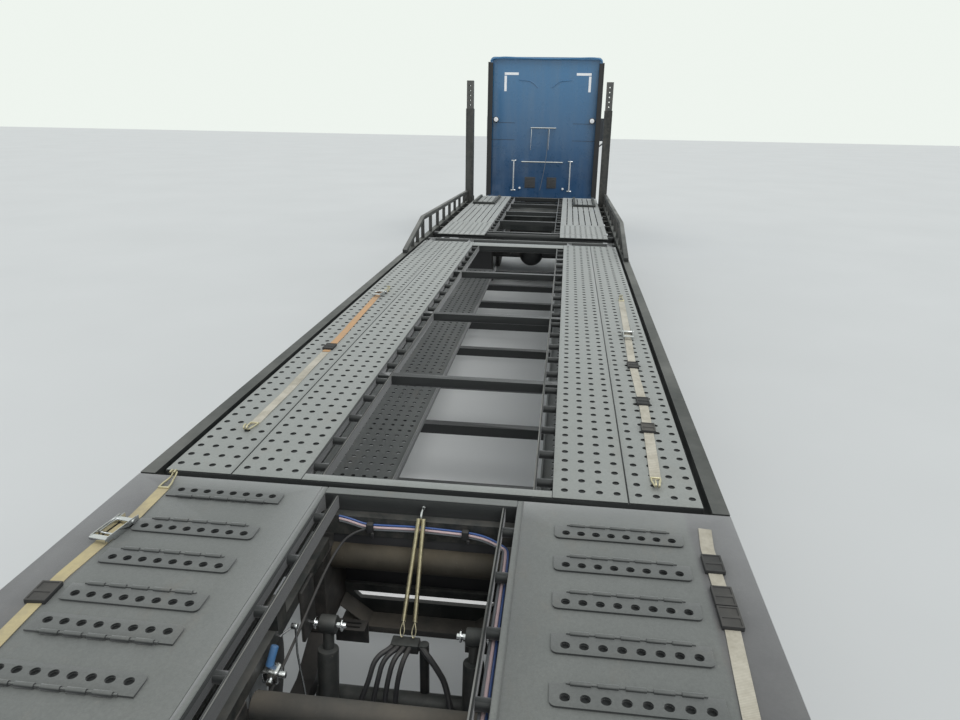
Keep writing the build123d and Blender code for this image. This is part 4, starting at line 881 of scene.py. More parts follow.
RAIL_STRUTS = (-1.15, -0.85, -0.50, 0.05, 0.60, 1.15, 1.70, 2.25, 2.80, 3.35, 3.66)
RAIL_PEAK_X, RAIL_PEAK_Z = -0.5, 1.575
RAIL_FALL, RAMP_RISE = 0.0238, 0.215
POST_Y = 1.215
PIN_HOLES, PIN_FIRST_Z, PIN_PITCH = 20, 1.780, 0.080


def hole_cutters(name, first, rows, columns, pitch_x, pitch_y, radius, low, high, sides=16):
    """Round cutters on a straight grid, from one corner."""
    pick_nothing()
    bpy.ops.mesh.primitive_cylinder_add(vertices=sides, radius=radius, depth=high - low,
                                        location=(first[0], first[1], (low + high) / 2))
    cutter = bpy.context.object
    cutter.name = name
    set_place(cutter)
    for label, count, offset in (("rows", rows, (pitch_x, 0, 0)), ("columns", columns, (0, pitch_y, 0))):
        repeat = cutter.modifiers.new(label, "ARRAY")
        repeat.count = count
        repeat.use_relative_offset = False
        repeat.use_constant_offset = True
        repeat.constant_offset_displace = offset
    apply_modifiers(cutter)
    return cutter


def rail_highlight_strips(label, body, across, rear, front, low):
    """Thin pale strips on the top edges of a deck's two inner rails: a painted highlight."""
    for side, tag in SIDES:
        y = side * across
        cap = plate(f"{label}_rail_cap_{tag}", (rear, y - 0.003, low),
                    (front, y + 0.003, low + 0.0023), 0.001)
        done(cap, body, rail_dust_and_highlight)


def perforate_mid_deck():
    """The middle deck's frame, the two plates of each track with every hole cut, and flush cross plates."""
    sheets = [without_layer("mid_deck", "mid_deck_frame", (MID_REAR - 0.03, -1.21, DECK_TOP - LAYER_DEPTH),
                            (MID_FRONT + 0.0005, 1.21, DECK_TOP + 0.02))]
    parts = (("inner", MID_INNER, SEAM - SEAM_GAP, SEAM - HOLE_MARGIN - 3 * HOLE_PITCH_Y),
             ("outer", SEAM + SEAM_GAP, MID_HALF_WIDTH, SEAM + HOLE_MARGIN))
    for side, tag in SIDES:
        for part, inner, outer, first_y in parts:
            sheet = plate(f"mid_plate_{part}_{tag}", (MID_REAR, side * inner, DECK_TOP - PLATE_DEPTH),
                          (MID_FRONT, side * outer, DECK_TOP), 0.003, 3)
            cutter = hole_cutters("holes", (HOLE_FIRST_X, side * first_y), HOLE_ROWS, 4, HOLE_PITCH_X,
                                  side * HOLE_PITCH_Y, HOLE_RADIUS, DECK_TOP - 0.03, DECK_TOP + 0.03)
            cut_away(sheet, cutter)
            sheets.append(sheet)
    for tag, rear, front in CROSS_PLATES:
        sheets.append(plate(f"{tag}_cross_plate", (rear, -0.558, DECK_TOP - 0.010),
                            (front, 0.558, DECK_TOP - FLUSH), 0.002))
    deck = fitted("mid_deck_perforated", "mid_deck_body", deck_black, "trailer_black", *sheets)
    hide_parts("mid_deck")
    rail_highlight_strips("mid", "mid_deck_body", 0.477, MID_REAR, MID_FRONT, 1.3122)


def flap_holes(hinge_x, middle_y, ahead, low, high, sides):
    """Cutters for the row of holes in one chock flap."""
    first = (hinge_x + ahead * FLAP_HOLE_INSET, middle_y - (FLAP_HOLES - 1) / 2 * FLAP_HOLE_PITCH)
    return hole_cutters("flap_holes", first, 1, FLAP_HOLES, 1, FLAP_HOLE_PITCH, FLAP_HOLE_RADIUS,
                        low, high, sides)


def chock_flap(name, ahead):
    """One chock flap about its hinge line: rounded free corners, a row of holes and five hinge knuckles."""
    free = ahead * FLAP_DEPTH
    low, high, hinge_z = DECK_TOP + 0.0008, DECK_TOP + 0.0078, DECK_TOP + 0.008

    def is_free_corner(a, b):
        """True for the upright edges at the flap's free side."""
        return max(abs(a.x - free), abs(b.x - free), abs(a.y - b.y)) < 0.001

    flap = plate(name, (0, -FLAP_HALF_WIDTH, low), (free, FLAP_HALF_WIDTH, high), 0)
    bevel_edges(flap, 0.020, 5, is_free_corner)
    round_edges(flap, 0.0014, 2)
    cut_away(flap, flap_holes(0, 0, ahead, low - 0.01, high + 0.01, 24))
    parts = [flap]
    for index in range(-2, 3):
        y = index * KNUCKLE_PITCH
        parts.append(cross_bar("knuckle", 0, hinge_z, y - 0.030, y + 0.030, 0.009, 12))
    parts.append(cross_bar("hinge_pin", 0, hinge_z, -0.200, 0.200, 0.0045, 8, 0))
    return joined(name, parts)


def dress_rear_deck():
    """The rear deck's frame, its plates with a pocket under every hole of the chock flaps, and the flaps."""
    sheets = [without_layer("rear_deck", "rear_deck_frame", (-11.60, -1.31, DECK_TOP - LAYER_DEPTH),
                            (REAR_EDGE + 0.0005, 1.31, DECK_TOP + 0.05)),
              plate("cross_plate", (REAR_EDGE - 0.050, -0.414, DECK_TOP - PLATE_DEPTH),
                    (REAR_EDGE, 0.414, DECK_TOP), 0.002, 1)]
    patterns = {1: chock_flap("flap_ahead", 1), -1: chock_flap("flap_behind", -1)}
    flaps = []
    for side, tag in SIDES:
        sheet = plate(f"rear_plate_{tag}", (TAIL_X, side * REAR_INNER, DECK_TOP - PLATE_DEPTH),
                      (REAR_EDGE, side * REAR_OUTER, DECK_TOP), 0.003, 1)
        middle_y, groove_y = side * FLAP_MIDDLE_Y, side * GROOVE_Y
        cutters = [plate("groove", (-11.60, groove_y - GROOVE_HALF_WIDTH, DECK_TOP - 0.002),
                         (-7.005, groove_y + GROOVE_HALF_WIDTH, DECK_TOP + 0.02), 0)]
        for row in range(FLAP_ROWS):
            ahead = 1 if side == 1 and row in FLAPS_TURNED_FORWARD else -1
            shift = FLAP_LEFT_SHIFT if side == 1 and ahead == -1 else 0
            hinge_x = FLAP_FIRST_X - row * FLAP_PITCH + shift
            flaps.append(copied(patterns[ahead], f"flap_{tag}_{row}", (hinge_x, middle_y, 0)))
            cutters.append(flap_holes(hinge_x, middle_y, ahead, DECK_TOP - 0.02, DECK_TOP + 0.02, 12))
        cut_away(sheet, joined("pockets", cutters))
        sheets.append(sheet)
        # A near-black backing keeps the floor from showing through the pockets and paints the holes dark:
        # painted shade.
        backing = plate(f"flap_shade_backing_{tag}", (-11.490, side * 0.590, 1.3030),
                        (-7.080, side * 1.055, 1.3110), 0.001)
        done(backing, "trailer", hose_black)
    for pattern in patterns.values():
        bpy.data.objects.remove(pattern)
    deck = fitted("rear_deck_plates", "trailer", rear_deck_black, "trailer_black", *sheets)
    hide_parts("rear_deck")
    fitted("chock_flaps", "trailer", flap_black, "trailer_black", *flaps)
    rail_highlight_strips("rear", "trailer", 0.358, -11.57, -7.065, 1.3102)


def perforate_lower_deck():
    """The lower deck with round holes through both tracks."""
    deck = merged_copy("lower_deck", "lower_deck_perforated")
    for side in (1, -1):
        cutter = hole_cutters("holes", (-6.400, side * 0.565), LOWER_ROWS, LOWER_COLUMNS, HOLE_PITCH_X,
                              side * HOLE_PITCH_Y, HOLE_RADIUS, LOWER_TOP - 0.013, LOWER_TOP + 0.02, 10)
        cut_away(deck, cutter)
    done(deck, "trailer", lower_deck_black)
    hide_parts("lower_deck")


def cut_front_tracks():
    """The front deck's tracks: holes at the rear end, then open joints between the planks."""
    deck = merged_copy("front_deck", "front_deck_tracks")
    low, high = DECK_TOP - 0.0085, DECK_TOP + 0.02
    cutters = []
    for side in (1, -1):
        cutters.append(hole_cutters("holes", (0.235, side * TRACK_FIRST_Y), 8, 8, HOLE_PITCH_X,
                                    side * TRACK_PITCH_Y, HOLE_RADIUS, low, high))
        for gap in range(PLANK_GAPS):
            y = side * (PLANK_FIRST_Y + (gap + 1) * PLANK_WIDTH)
            cutters.append(plate("joint", (1.060, y - 0.007, low), (4.480, y + 0.007, high), 0))
        cutters.append(plate("joint", (1.010, side * 0.51, low), (1.018, side * 1.13, high), 0))
    cut_away(deck, joined("cutters", cutters))
    done(deck, "front_deck_body", front_deck_paint_and_sheen)
    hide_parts("front_deck")


def straight_rail(name, start, end):
    """A square tube between two points in one upright plane."""
    length = math.dist(start, end)
    rail = plate(name, (0, -0.025, -0.025), (length, 0.025, 0.025), 0.006, 3)
    rail.rotation_euler = (0, -math.atan2(end[2] - start[2], end[0] - start[0]), 0)
    rail.location = start
    set_place(rail)
    return rail


def chock_frame(side, tag):
    """The low frame at a front track's end: one cross piece and two arms."""
    low, high = DECK_TOP + 0.0004, DECK_TOP + 0.040
    bars = [plate("cross_piece", (3.215, side * 0.690, low), (3.255, side * 1.080, high), 0.005, 3)]
    bars += [plate("arm", (3.254, side * y - 0.020, low), (4.400, side * y + 0.020, high), 0.005, 3)
             for y in (0.710, 1.060)]
    fitted(f"chock_frame_{tag}", "front_deck_body", frame_black, "trailer_black", *bars)


def raised_rail(side, tag):
    """The side frame's raised rail beside the front deck, on struts, with a ramp at its rear end."""
    y = side * 1.260
    parts = [straight_rail("ramp", (-1.600, y, 1.338), (-0.490, y, 1.577)),
             straight_rail("top", (RAIL_PEAK_X, y, RAIL_PEAK_Z), (3.700, y, 1.475))]
    for x in RAIL_STRUTS:
        ahead = x - RAIL_PEAK_X
        top = RAIL_PEAK_Z - ahead * RAIL_FALL if ahead > 0 else RAIL_PEAK_Z + ahead * RAMP_RISE
        parts.append(plate("strut", (x - 0.020, y - 0.020, DECK_TOP - 0.002),
                           (x + 0.020, y + 0.020, top), 0.003))
    fitted(f"raised_rail_{tag}", "trailer", rail_dust_and_highlight, "trailer_black", *parts)


def dress_front_deck():
    """The front deck's tracks, bridge plates, chock frames, inner rails, rungs and raised side rails."""
    cut_front_tracks()
    for side, tag in SIDES:
        bridge = plate(f"bridge_plate_{tag}", (-0.125, side * 0.502, DECK_TOP - 0.0095),
                       (0.176, side * 1.133, DECK_TOP - 0.0005), 0.002)
        cut_away(bridge, hole_cutters("holes", (-0.075, side * TRACK_FIRST_Y), 3, 8, HOLE_PITCH_X,
                                      side * TRACK_PITCH_Y, HOLE_RADIUS, DECK_TOP - 0.03, DECK_TOP + 0.02))
        done(bridge, "front_deck_body", front_deck_paint_and_sheen)
        chock_frame(side, tag)
        rail_y = side * 0.425
        inner = [plate("rail", (0.320, rail_y - 0.005, 1.256), (4.460, rail_y + 0.005, 1.312), 0.002)]
        for stub in range(FRONT_STUBS):
            inner.append(cross_bar("stub", 0.460 + stub * FRONT_STUB_PITCH, 1.285, side * 0.427,
                                   side * 0.503, 0.020, 16))
        fitted(f"front_inner_rail_{tag}", "front_deck_body", front_deck_paint_and_sheen, "trailer_black", *inner)
        rungs = [cross_bar("rung", x, 1.300, side * 1.132, side * 1.214, 0.013, 12) for x in FRONT_RUNGS]
        fitted(f"deck_rungs_{tag}", "front_deck_body", frame_black, "trailer_black", *rungs)
        raised_rail(side, tag)


def drill_posts():
    """Pin holes through the inner tubes of the deck posts."""
    posts = merged_copy("post_extensions", "drilled_posts")
    holes = []
    for side in (1, -1):
        for index in range(PIN_HOLES):
            y, z = side * POST_Y, PIN_FIRST_Z + index * PIN_PITCH
            holes.append(bar("pin_hole", (3.700, y, z), (3.850, y, z), 0.013, 16, 0))
    cut_away(posts, joined("pin_holes", holes))
    done(posts, "post_extensions_body", post_grey)
    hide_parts("post_extensions")


perforate_mid_deck()
dress_rear_deck()
perforate_lower_deck()
dress_front_deck()
drill_posts()

# Tie-down straps

WEB_WIDTH = 0.050
WEB_THICKNESS = 0.0026
CLEAT_LENGTH = 0.105


def point_on(route, distance):
    """Place and direction at a distance along a route of (x, y) points."""
    left = distance
    for start, end in zip(route, route[1:]):
        run = math.dist(start, end)
        if left <= run or end is route[-1]:
            share = left / run
            x = start[0] + (end[0] - start[0]) * share
            y = start[1] + (end[1] - start[1]) * share
            return x, y, math.atan2(end[1] - start[1], end[0] - start[0])
        left -= run


def lay_strap(name, route, z):
    """Webbing laid on a deck: a fine grid brought along the route, with slight waves, then made thick."""
    length = sum(math.dist(a, b) for a, b in zip(route, route[1:]))
    steps = int(length / 0.03)
    pick_nothing()
    bpy.ops.mesh.primitive_grid_add(x_subdivisions=steps, y_subdivisions=4, size=1)
    strap = bpy.context.object
    strap.name = name
    for vertex in strap.data.vertices:
        along, across = (vertex.co.x + 0.5) * length, vertex.co.y * WEB_WIDTH
        x, y, turn = point_on(route, min(max(along, 0.0001), length - 0.0001))
        ripple = 0.0012 * (1 + math.sin(along * 9 + across * 30)) * min(1, along * 6, (length - along) * 6)
        vertex.co = (x - math.sin(turn) * across, y + math.cos(turn) * across, z + ripple)
    thick = strap.modifiers.new("thickness", "SOLIDIFY")
    thick.thickness = WEB_THICKNESS
    thick.offset = 1
    apply_modifiers(strap)
    return strap, length


def strap_cleat(name, route, distance, z):
    """A ribbed rubber cleat that the webbing runs through."""
    x, y, turn = point_on(route, distance)
    cleat = plate(name, (-CLEAT_LENGTH / 2, -0.036, 0), (CLEAT_LENGTH / 2, 0.036, 0.017), 0)
    bpy.ops.object.mode_set(mode="EDIT")
    mesh = bmesh.from_edit_mesh(cleat.data)
    bmesh.ops.bisect_plane(mesh, geom=mesh.verts[:] + mesh.edges[:] + mesh.faces[:], plane_co=(0, 0, 0),
                           plane_no=(1, 0, 0))
    bmesh.update_edit_mesh(cleat.data)
    bpy.ops.mesh.select_all(action="DESELECT")
    mesh = bmesh.from_edit_mesh(cleat.data)
    for face in mesh.faces:
        face.select = face.normal.z > 0.9
    bmesh.update_edit_mesh(cleat.data)
    bpy.ops.mesh.inset(thickness=0.007, depth=0.0, use_individual=True)
    bpy.ops.mesh.extrude_region_move(TRANSFORM_OT_translate={"value": (0, 0, -0.004)})
    bpy.ops.object.mode_set(mode="OBJECT")
    round_edges(cleat, 0.0018, 2)
    cleat.rotation_euler = (0, 0, turn)
    cleat.location = (x, y, z)
    set_place(cleat)
    return cleat


def ratchet(name, route, distance, z):
    """A ratchet buckle: two side plates, a drum and a folded handle."""
    x, y, turn = point_on(route, distance)
    parts = []
    for side in (1, -1):
        parts.append(plate("side_plate", (-0.07, side * 0.031 - 0.0015, 0),
                           (0.07, side * 0.031 + 0.0015, 0.030), 0.0012))
        parts.append(plate("arm", (-0.11, side * 0.036 - 0.0015, 0.012),
                           (0.05, side * 0.036 + 0.0015, 0.036), 0.0012))
    parts.append(cross_bar("drum", 0.035, 0.020, -0.042, 0.042, 0.011))
    parts.append(cross_bar("pin", -0.055, 0.012, -0.034, 0.034, 0.005))
    parts.append(plate("grip", (-0.12, -0.038, 0.020), (-0.095, 0.038, 0.034), 0.004))
    buckle = joined(name, parts)
    buckle.rotation_euler = (0, 0, turn)
    buckle.location = (x, y, z)
    set_place(buckle)
    return buckle


def wire_hook(name, route, at_end, z):
    """A double wire hook on the sewn eye of a strap."""
    length = sum(math.dist(a, b) for a, b in zip(route, route[1:]))
    x, y, turn = point_on(route, length - 0.001 if at_end else 0.001)
    ahead = 1 if at_end else -1
    lines = []
    for side in (1, -1):
        lines.append(bent_line(f"{name}_{side}", [
            (-0.010 * ahead, side * 0.020, 0.006), (0.020 * ahead, side * 0.021, 0.007),
            (0.055 * ahead, side * 0.012, 0.008), (0.085 * ahead, side * 0.008, 0.010),
            (0.108 * ahead, side * 0.008, 0.024), (0.096 * ahead, side * 0.008, 0.038),
            (0.074 * ahead, side * 0.009, 0.034)], 0.0045))
    lines.append(cross_bar("eye", -0.008 * ahead, 0.006, -0.024, 0.024, 0.0045))
    hook = joined(name, lines)
    hook.rotation_euler = (0, 0, turn)
    hook.location = (x, y, z)
    set_place(hook)
    return hook


# Each strap: body, deck node, webbing, route of (x, y) points, cleats and buckles as distances along it
STRAPS = (
    ("rear_strap_left", "trailer", "rear_deck", web_yellow,
     ((-8.300, 1.100), (-8.082, 1.114), (-7.762, 1.136), (-7.554, 1.124), (-7.375, 1.100), (-7.120, 1.112)),
     (0.440,), (0.850,), (0, 1)),
    ("rear_strap_right", "trailer", "rear_deck", web_cream,
     ((-8.300, -1.120), (-8.102, -1.129), (-7.709, -1.156), (-7.270, -1.155), (-7.130, -1.170)),
     (0.620, 0.730, 0.920), (), (0, 0)),
    ("mid_strap_left", "mid_deck_body", "mid_deck", web_cream,
     ((-6.430, 1.004), (-6.000, 1.002), (-5.235, 1.016)), (), (), (1, 0)),
    ("mid_strap_left_end", "mid_deck_body", "mid_deck", web_orange,
     ((-5.215, 1.016), (-4.887, 1.018), (-3.694, 1.060), (-3.480, 1.030)), (0.090,), (1.640,), (0, 1)),
    ("mid_strap_right", "mid_deck_body", "mid_deck", web_cream,
     ((-6.740, -1.020), (-6.249, -1.040), (-5.839, -1.050), (-5.105, -1.044), (-4.351, -1.066),
      (-3.440, -1.085)),
     (0.560, 0.930, 1.560), (2.250,), (1, 1)),
)


def lay_straps():
    """Every strap with its cleats, buckles and hooks."""
    for name, body, deck, webbing, route, cleats, buckles, hooks in STRAPS:
        z = DECK_TOP + 0.0006
        strap, length = lay_strap(name, route, z)
        done(strap, body, webbing, 60)
        for index, distance in enumerate(cleats):
            cleat = strap_cleat(f"{name}_cleat_{index}", route, distance, z)
            done(cleat, body, rubber)
        for index, distance in enumerate(buckles):
            buckle = ratchet(f"{name}_buckle_{index}", route, distance, z)
            done(buckle, body, rod_chrome)
        for index, wanted in enumerate(hooks):
            if wanted:
                hook = wire_hook(f"{name}_hook_{index}", route, index == 1, z)
                done(hook, body, zinc_gold)
        if name == "rear_strap_left":
            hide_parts("rear_straps")
        if name == "mid_strap_left":
            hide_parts("mid_straps")


lay_straps()

# Fittings in the rear opening

OPENING = 0.374
SPRING_TURNS = 88
HOSE_SPREADS = ((0.045, 0.110, 0.165), (0.022, 0.075, 0.110), (0.000, 0.035, 0.062), (-0.022, -0.004, 0.018))


def coil_spring(name, start, end, radius, wire, turns):
    """A close-wound tension spring, screwed up from one small ring."""
    start, end = Vector(start), Vector(end)
    length = (end - start).length
    pick_nothing()
    bpy.ops.mesh.primitive_circle_add(vertices=6, radius=wire, location=(radius, 0, 0),
                                      rotation=(math.radians(90), 0, 0))
    ring = bpy.context.object
    ring.name = name
    set_place(ring)
    wind = ring.modifiers.new("wound", "SCREW")
    wind.angle = math.tau
    wind.screw_offset = length / turns
    wind.iterations = turns
    wind.steps = 10
    wind.render_steps = 10
    wind.axis = "Z"
    wind.use_merge_vertices = False
    apply_modifiers(ring)
    bpy.ops.object.mode_set(mode="EDIT")
    bpy.ops.mesh.select_all(action="SELECT")
    bpy.ops.mesh.fill_holes(sides=8)
    bpy.ops.object.mode_set(mode="OBJECT")
    face_out(ring)
    ring.rotation_mode = "QUATERNION"
    ring.rotation_quaternion = (end - start).to_track_quat("Z", "Y")
    ring.location = start
    set_place(ring)
    return ring


def cross_plate(name, x, z, edge, half_width=OPENING):
    """A plate across the vehicle, between two X and two Z values."""
    return plate(name, (x[0], -half_width, z[0]), (x[1], half_width, z[1]), edge)


def fit_slotted_beam():
    """Cross beam between the spring hangers, with one long slot and a glowing strip behind it: painted light
    for the bright ground beyond.
    """
    beam = cross_plate("slotted_beam", (-6.985, -6.960), (0.650, 0.810), 0.004)
    slot = cross_plate("slot", (-7.05, -6.86), (0.734, 0.772), 0, 0.330)
    bevel_edges(slot, 0.030, 1, lambda a, b: abs(a.x - b.x) > 0.1 and a.z < 0.75)
    cut_away(beam, slot)
    done(beam, "trailer", frame_black)
    # The strip glows though it is no lamp: painted light standing in for the bright ground seen through the
    # slot.
    done(cross_plate("slot_glow_strip", (-6.952, -6.944), (0.690, 0.790), 0.001, 0.345), "trailer", painted_glow_strip)


def fit_cross_pieces():
    """The cross tube's dusty sleeve, the shelf below the slotted beam, two webs and a tube further back."""
    done(cross_bar("dusty_cross_tube", -7.110, 1.050, -OPENING, OPENING, 0.0560, 40, 0.004), "trailer",
         dusty_tube)
    fitted("beam_shelf", "trailer", dusty_steel, "trailer_black",
           cross_plate("shelf", (-7.090, -6.984), (0.652, 0.662), 0.003),
           cross_plate("shelf_lip", (-7.098, -7.088), (0.640, 0.672), 0.003))
    fitted("opening_webs", "trailer", hose_black, "trailer_black",
           cross_plate("upper_web", (-7.100, -7.090), (1.000, 1.1496), 0.002),
           cross_plate("lower_web", (-6.962, -6.950), (0.800, 1.060), 0.002))
    done(cross_bar("rear_cross_tube", -7.960, 1.040, -OPENING, OPENING, 0.048, 40, 0.004), "trailer",
         dusty_steel)
    # The cross member in sight of the opening stops at the inner rails there
    members = without_layer("trailer_frame", "trailer_frame_members", (-7.745, -0.372, 1.140),
                            (-7.645, 0.372, 1.250))
    done(members, "trailer", frame_black)
    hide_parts("trailer_frame")


def fit_beam_end(side, tag):
    """A gusset at one end of the shelf, and a folded bracket with slots in its top behind the beam."""
    gusset = plate(f"beam_gusset_{tag}", (-7.086, -0.080, -0.003), (-6.990, 0.080, 0.003), 0.002)
    gusset.rotation_euler = (side * math.radians(38), 0, 0)
    gusset.location = (0, side * 0.306, 0.714)
    set_place(gusset)
    done(gusset, "trailer", dusty_steel)
    bracket = joined(f"slotted_bracket_{tag}", [
        plate("bracket_top", (-7.235, side * 0.215, 0.752), (-7.165, side * 0.365, 0.758), 0.002),
        plate("bracket_web", (-7.172, side * 0.215, 0.640), (-7.164, side * 0.365, 0.757), 0.002)])
    for x in (-7.215, -7.190):
        slot = plate("slot", (x - 0.005, side * 0.240, 0.740), (x + 0.005, side * 0.340, 0.770), 0)
        cut_away(bracket, slot)
    done(bracket, "trailer", chassis_black)


def fit_shock(side, tag):
    """A shock absorber with its mount and its bolt."""
    y, eye_x, eye_z = side * 0.290, -7.455, 0.965
    fitted(f"shock_{tag}", "trailer", frame_black, "trailer_black",
           bar("rod", (-7.5235, y, 0.545), (-7.4585, y, 0.950), 0.022, 24, 0.002),
           bar("body", (-7.513, y, 0.610), (-7.478, y, 0.868), 0.042, 32, 0.006),
           cross_bar("eye", eye_x, eye_z, y - 0.034, y + 0.034, 0.036, 28, 0.004),
           plate("foot", (-7.565, y - 0.030, 0.530), (-7.495, y + 0.030, 0.600), 0.008, 3))
    mount = plate(f"shock_mount_{tag}", (-7.520, side * 0.364, 0.920), (-7.390, side * 0.379, 1.148), 0.004)
    done(mount, "trailer", chassis_black)
    fitted(f"shock_bolt_{tag}", "trailer", chrome, "rod_chrome",
           cross_bar("bolt", eye_x, eye_z, y - side * 0.070, y + side * 0.075, 0.012, 6, 0.002),
           cross_bar("washer", eye_x, eye_z, y - 0.058, y - 0.050, 0.024, 20, 0.002),
           cross_bar("washer", eye_x, eye_z, y + 0.050, y + 0.058, 0.024, 20, 0.002))


def hang_springs():
    """Two tension springs that carry the hoses, hooked over the opening's front edge."""
    for tag, foot_y, top_shift in (("left", 0.020, 0.0105), ("right", -0.028, -0.0105)):
        foot, top = (-7.326, foot_y, 0.905), (-7.128, -0.019 + top_shift, 1.267)
        spring = coil_spring(f"hose_spring_{tag}", top, foot, 0.0080, 0.0022, SPRING_TURNS)
        done(spring, "trailer", zinc_gold, 60)
        loop = bent_line(f"hose_spring_loop_{tag}", [
            foot, (-7.334, foot_y + 0.004, 0.895), (-7.352, foot_y + 0.010, 0.872), (-7.368, foot_y, 0.852),
            (-7.352, foot_y - 0.010, 0.872), (-7.334, foot_y - 0.004, 0.895), foot], 0.0022)
        done(loop, "trailer", zinc_gold)
    fitted("spring_hanger", "trailer", rod_chrome, "rod_chrome",
           bent_line("hanger_hook", [
               (-7.0605, -0.019, 1.286), (-7.085, -0.019, 1.292), (-7.112, -0.019, 1.290),
               (-7.132, -0.019, 1.276), (-7.124, -0.019, 1.264)], 0.0045),
           bar("hanger_bolt", (-7.0605, -0.019, 1.286), (-7.074, -0.019, 1.286), 0.010, 6, 0.002))


def run_hoses():
    """Brake hoses over their carrier, arching down to the axle."""
    fitted("hose_carrier", "trailer", frame_black, "trailer_black",
           plate("carrier_plate", (-7.400, -0.055, 0.806), (-7.345, 0.060, 0.848), 0.005, 3),
           bar("carrier_post", (-7.372, -0.075, 0.56), (-7.372, -0.075, 0.84), 0.020),
           cross_bar("carrier_tube", -7.400, 0.560, -OPENING, OPENING, 0.044, 32, 0.003),
           plate("carrier_arm", (-7.390, -0.085, 0.815), (-7.355, -0.040, 0.838), 0.004))
    for index, (top_y, mid_y, low_y) in enumerate(HOSE_SPREADS):
        hose = bent_line(f"brake_hose_{index}", [
            (-7.350, top_y, 0.826), (-7.400, top_y, 0.838), (-7.455, mid_y, 0.822),
            (-7.500, mid_y + 0.016, 0.740), (-7.516, low_y, 0.640), (-7.530, low_y, 0.572)], 0.0105)
        done(hose, "trailer", hose_black)
    hose = bent_line("brake_hose_4", [
        (-7.350, -0.045, 0.826), (-7.398, -0.075, 0.832), (-7.425, -0.130, 0.780), (-7.440, -0.185, 0.690),
        (-7.525, -0.215, 0.572)], 0.0125)
    done(hose, "trailer", hose_black)


def run_air_lines():
    """Air and power lines along the cross member, clipped twice, then back beside the right-hand rail."""
    lines = (("pink", line_pink, 0.0, 0.0060), ("blue", line_blue, 0.0112, 0.0045),
             ("grey", line_grey, -0.0115, 0.0050))
    for tag, finish, lift, radius in lines:
        along_y = -0.391 - lift
        line = bent_line(f"air_line_{tag}", [
            (-7.113, 0.340, 1.232 + lift), (-7.113, 0.300, 1.226 + lift), (-7.113, 0.230, 1.201 + lift),
            (-7.113, 0.160, 1.200 + lift), (-7.113, 0.000, 1.207 + lift), (-7.113, -0.150, 1.201 + lift),
            (-7.114, -0.215, 1.199 + lift), (-7.130, -0.285, 1.198 + lift), (-7.162, -0.335, 1.198 + lift),
            (-7.215, -0.378 - lift / 2, 1.212 + lift / 2), (-7.300, along_y, 1.2478),
            (-7.700, along_y, 1.2478), (-8.300, along_y, 1.2478), (-8.870, along_y, 1.2478)], radius)
        done(line, "trailer", finish)
        if tag == "grey":
            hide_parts("air_lines")
    stray = bent_line("signal_cable", [
        (-7.128, 0.225, 1.196), (-7.145, 0.290, 1.180), (-7.210, 0.338, 1.120), (-7.400, 0.352, 1.080),
        (-7.700, 0.356, 1.020), (-7.900, 0.366, 0.990)], 0.0055)
    done(stray, "trailer", hose_black)
    for index, y in enumerate((0.205, -0.205)):
        fitted(f"line_clip_{index}", "trailer", rubber, "rubber_black",
               plate("clip_body", (-7.132, y - 0.015, 1.176), (-7.1052, y + 0.015, 1.222), 0.006, 3),
               plate("clip_tail", (-7.140, y - 0.020, 1.160), (-7.128, y - 0.008, 1.184), 0.002))


def fit_valve():
    """Dump valve with its blue handle, and the thin rods of the ride-height linkage."""
    fitted("dump_valve", "trailer", rod_chrome, "rod_chrome",
           plate("valve_body", (-7.890, 0.318, 1.060), (-7.838, 0.377, 1.114), 0.010, 3),
           cross_bar("valve_port_a", -7.864, 1.086, 0.300, 0.378, 0.012),
           bar("valve_port_b", (-7.908, 0.344, 1.082), (-7.818, 0.344, 1.082), 0.010))
    handle = bar("valve_handle", (-7.856, 0.360, 1.106), (-7.826, 0.346, 1.170), 0.0135, 16, 0.005)
    done(handle, "trailer", handle_blue)
    knee = (-7.672, 0.335, 1.130)
    fitted("height_linkage", "trailer", rod_chrome, "rod_chrome",
           bent_line("link_down", [knee, (-7.668, 0.338, 1.000), (-7.560, 0.350, 0.560)], 0.004, False),
           bent_line("link_back", [knee, (-7.700, 0.372, 1.110), (-7.710, 0.379, 1.105)], 0.004, False),
           cross_bar("link_knob", -7.676, 1.128, 0.325, 0.348, 0.011))


fit_slotted_beam()
fit_cross_pieces()
for side, tag in SIDES:
    fit_beam_end(side, tag)
    fit_shock(side, tag)
hang_springs()
run_hoses()
run_air_lines()
fit_valve()

# Rear wall of the cab

VENT_LOUVRES = 7
WALL_SEAMS = (("upper", 2.650, 0.98), ("lower", 2.300, 1.12))


def fit_corner_mark(side, tag, y_in, y_out):
    """Reflective corner mark: one strip across and one down, with a faint painted glow."""
    rear, front = CAB_REAR - 0.0045, CAB_REAR - 0.0015
    fitted(f"corner_mark_{tag}", "tractor", faint_glow_reflector, "lamp_clear",
           plate("mark_across", (rear, side * y_in, 3.615), (front, side * y_out, 3.665), 0.001, 1),
           plate("mark_down", (rear, side * y_out, 3.290), (front, side * y_out - side * 0.05, 3.600),
                 0.001, 1))


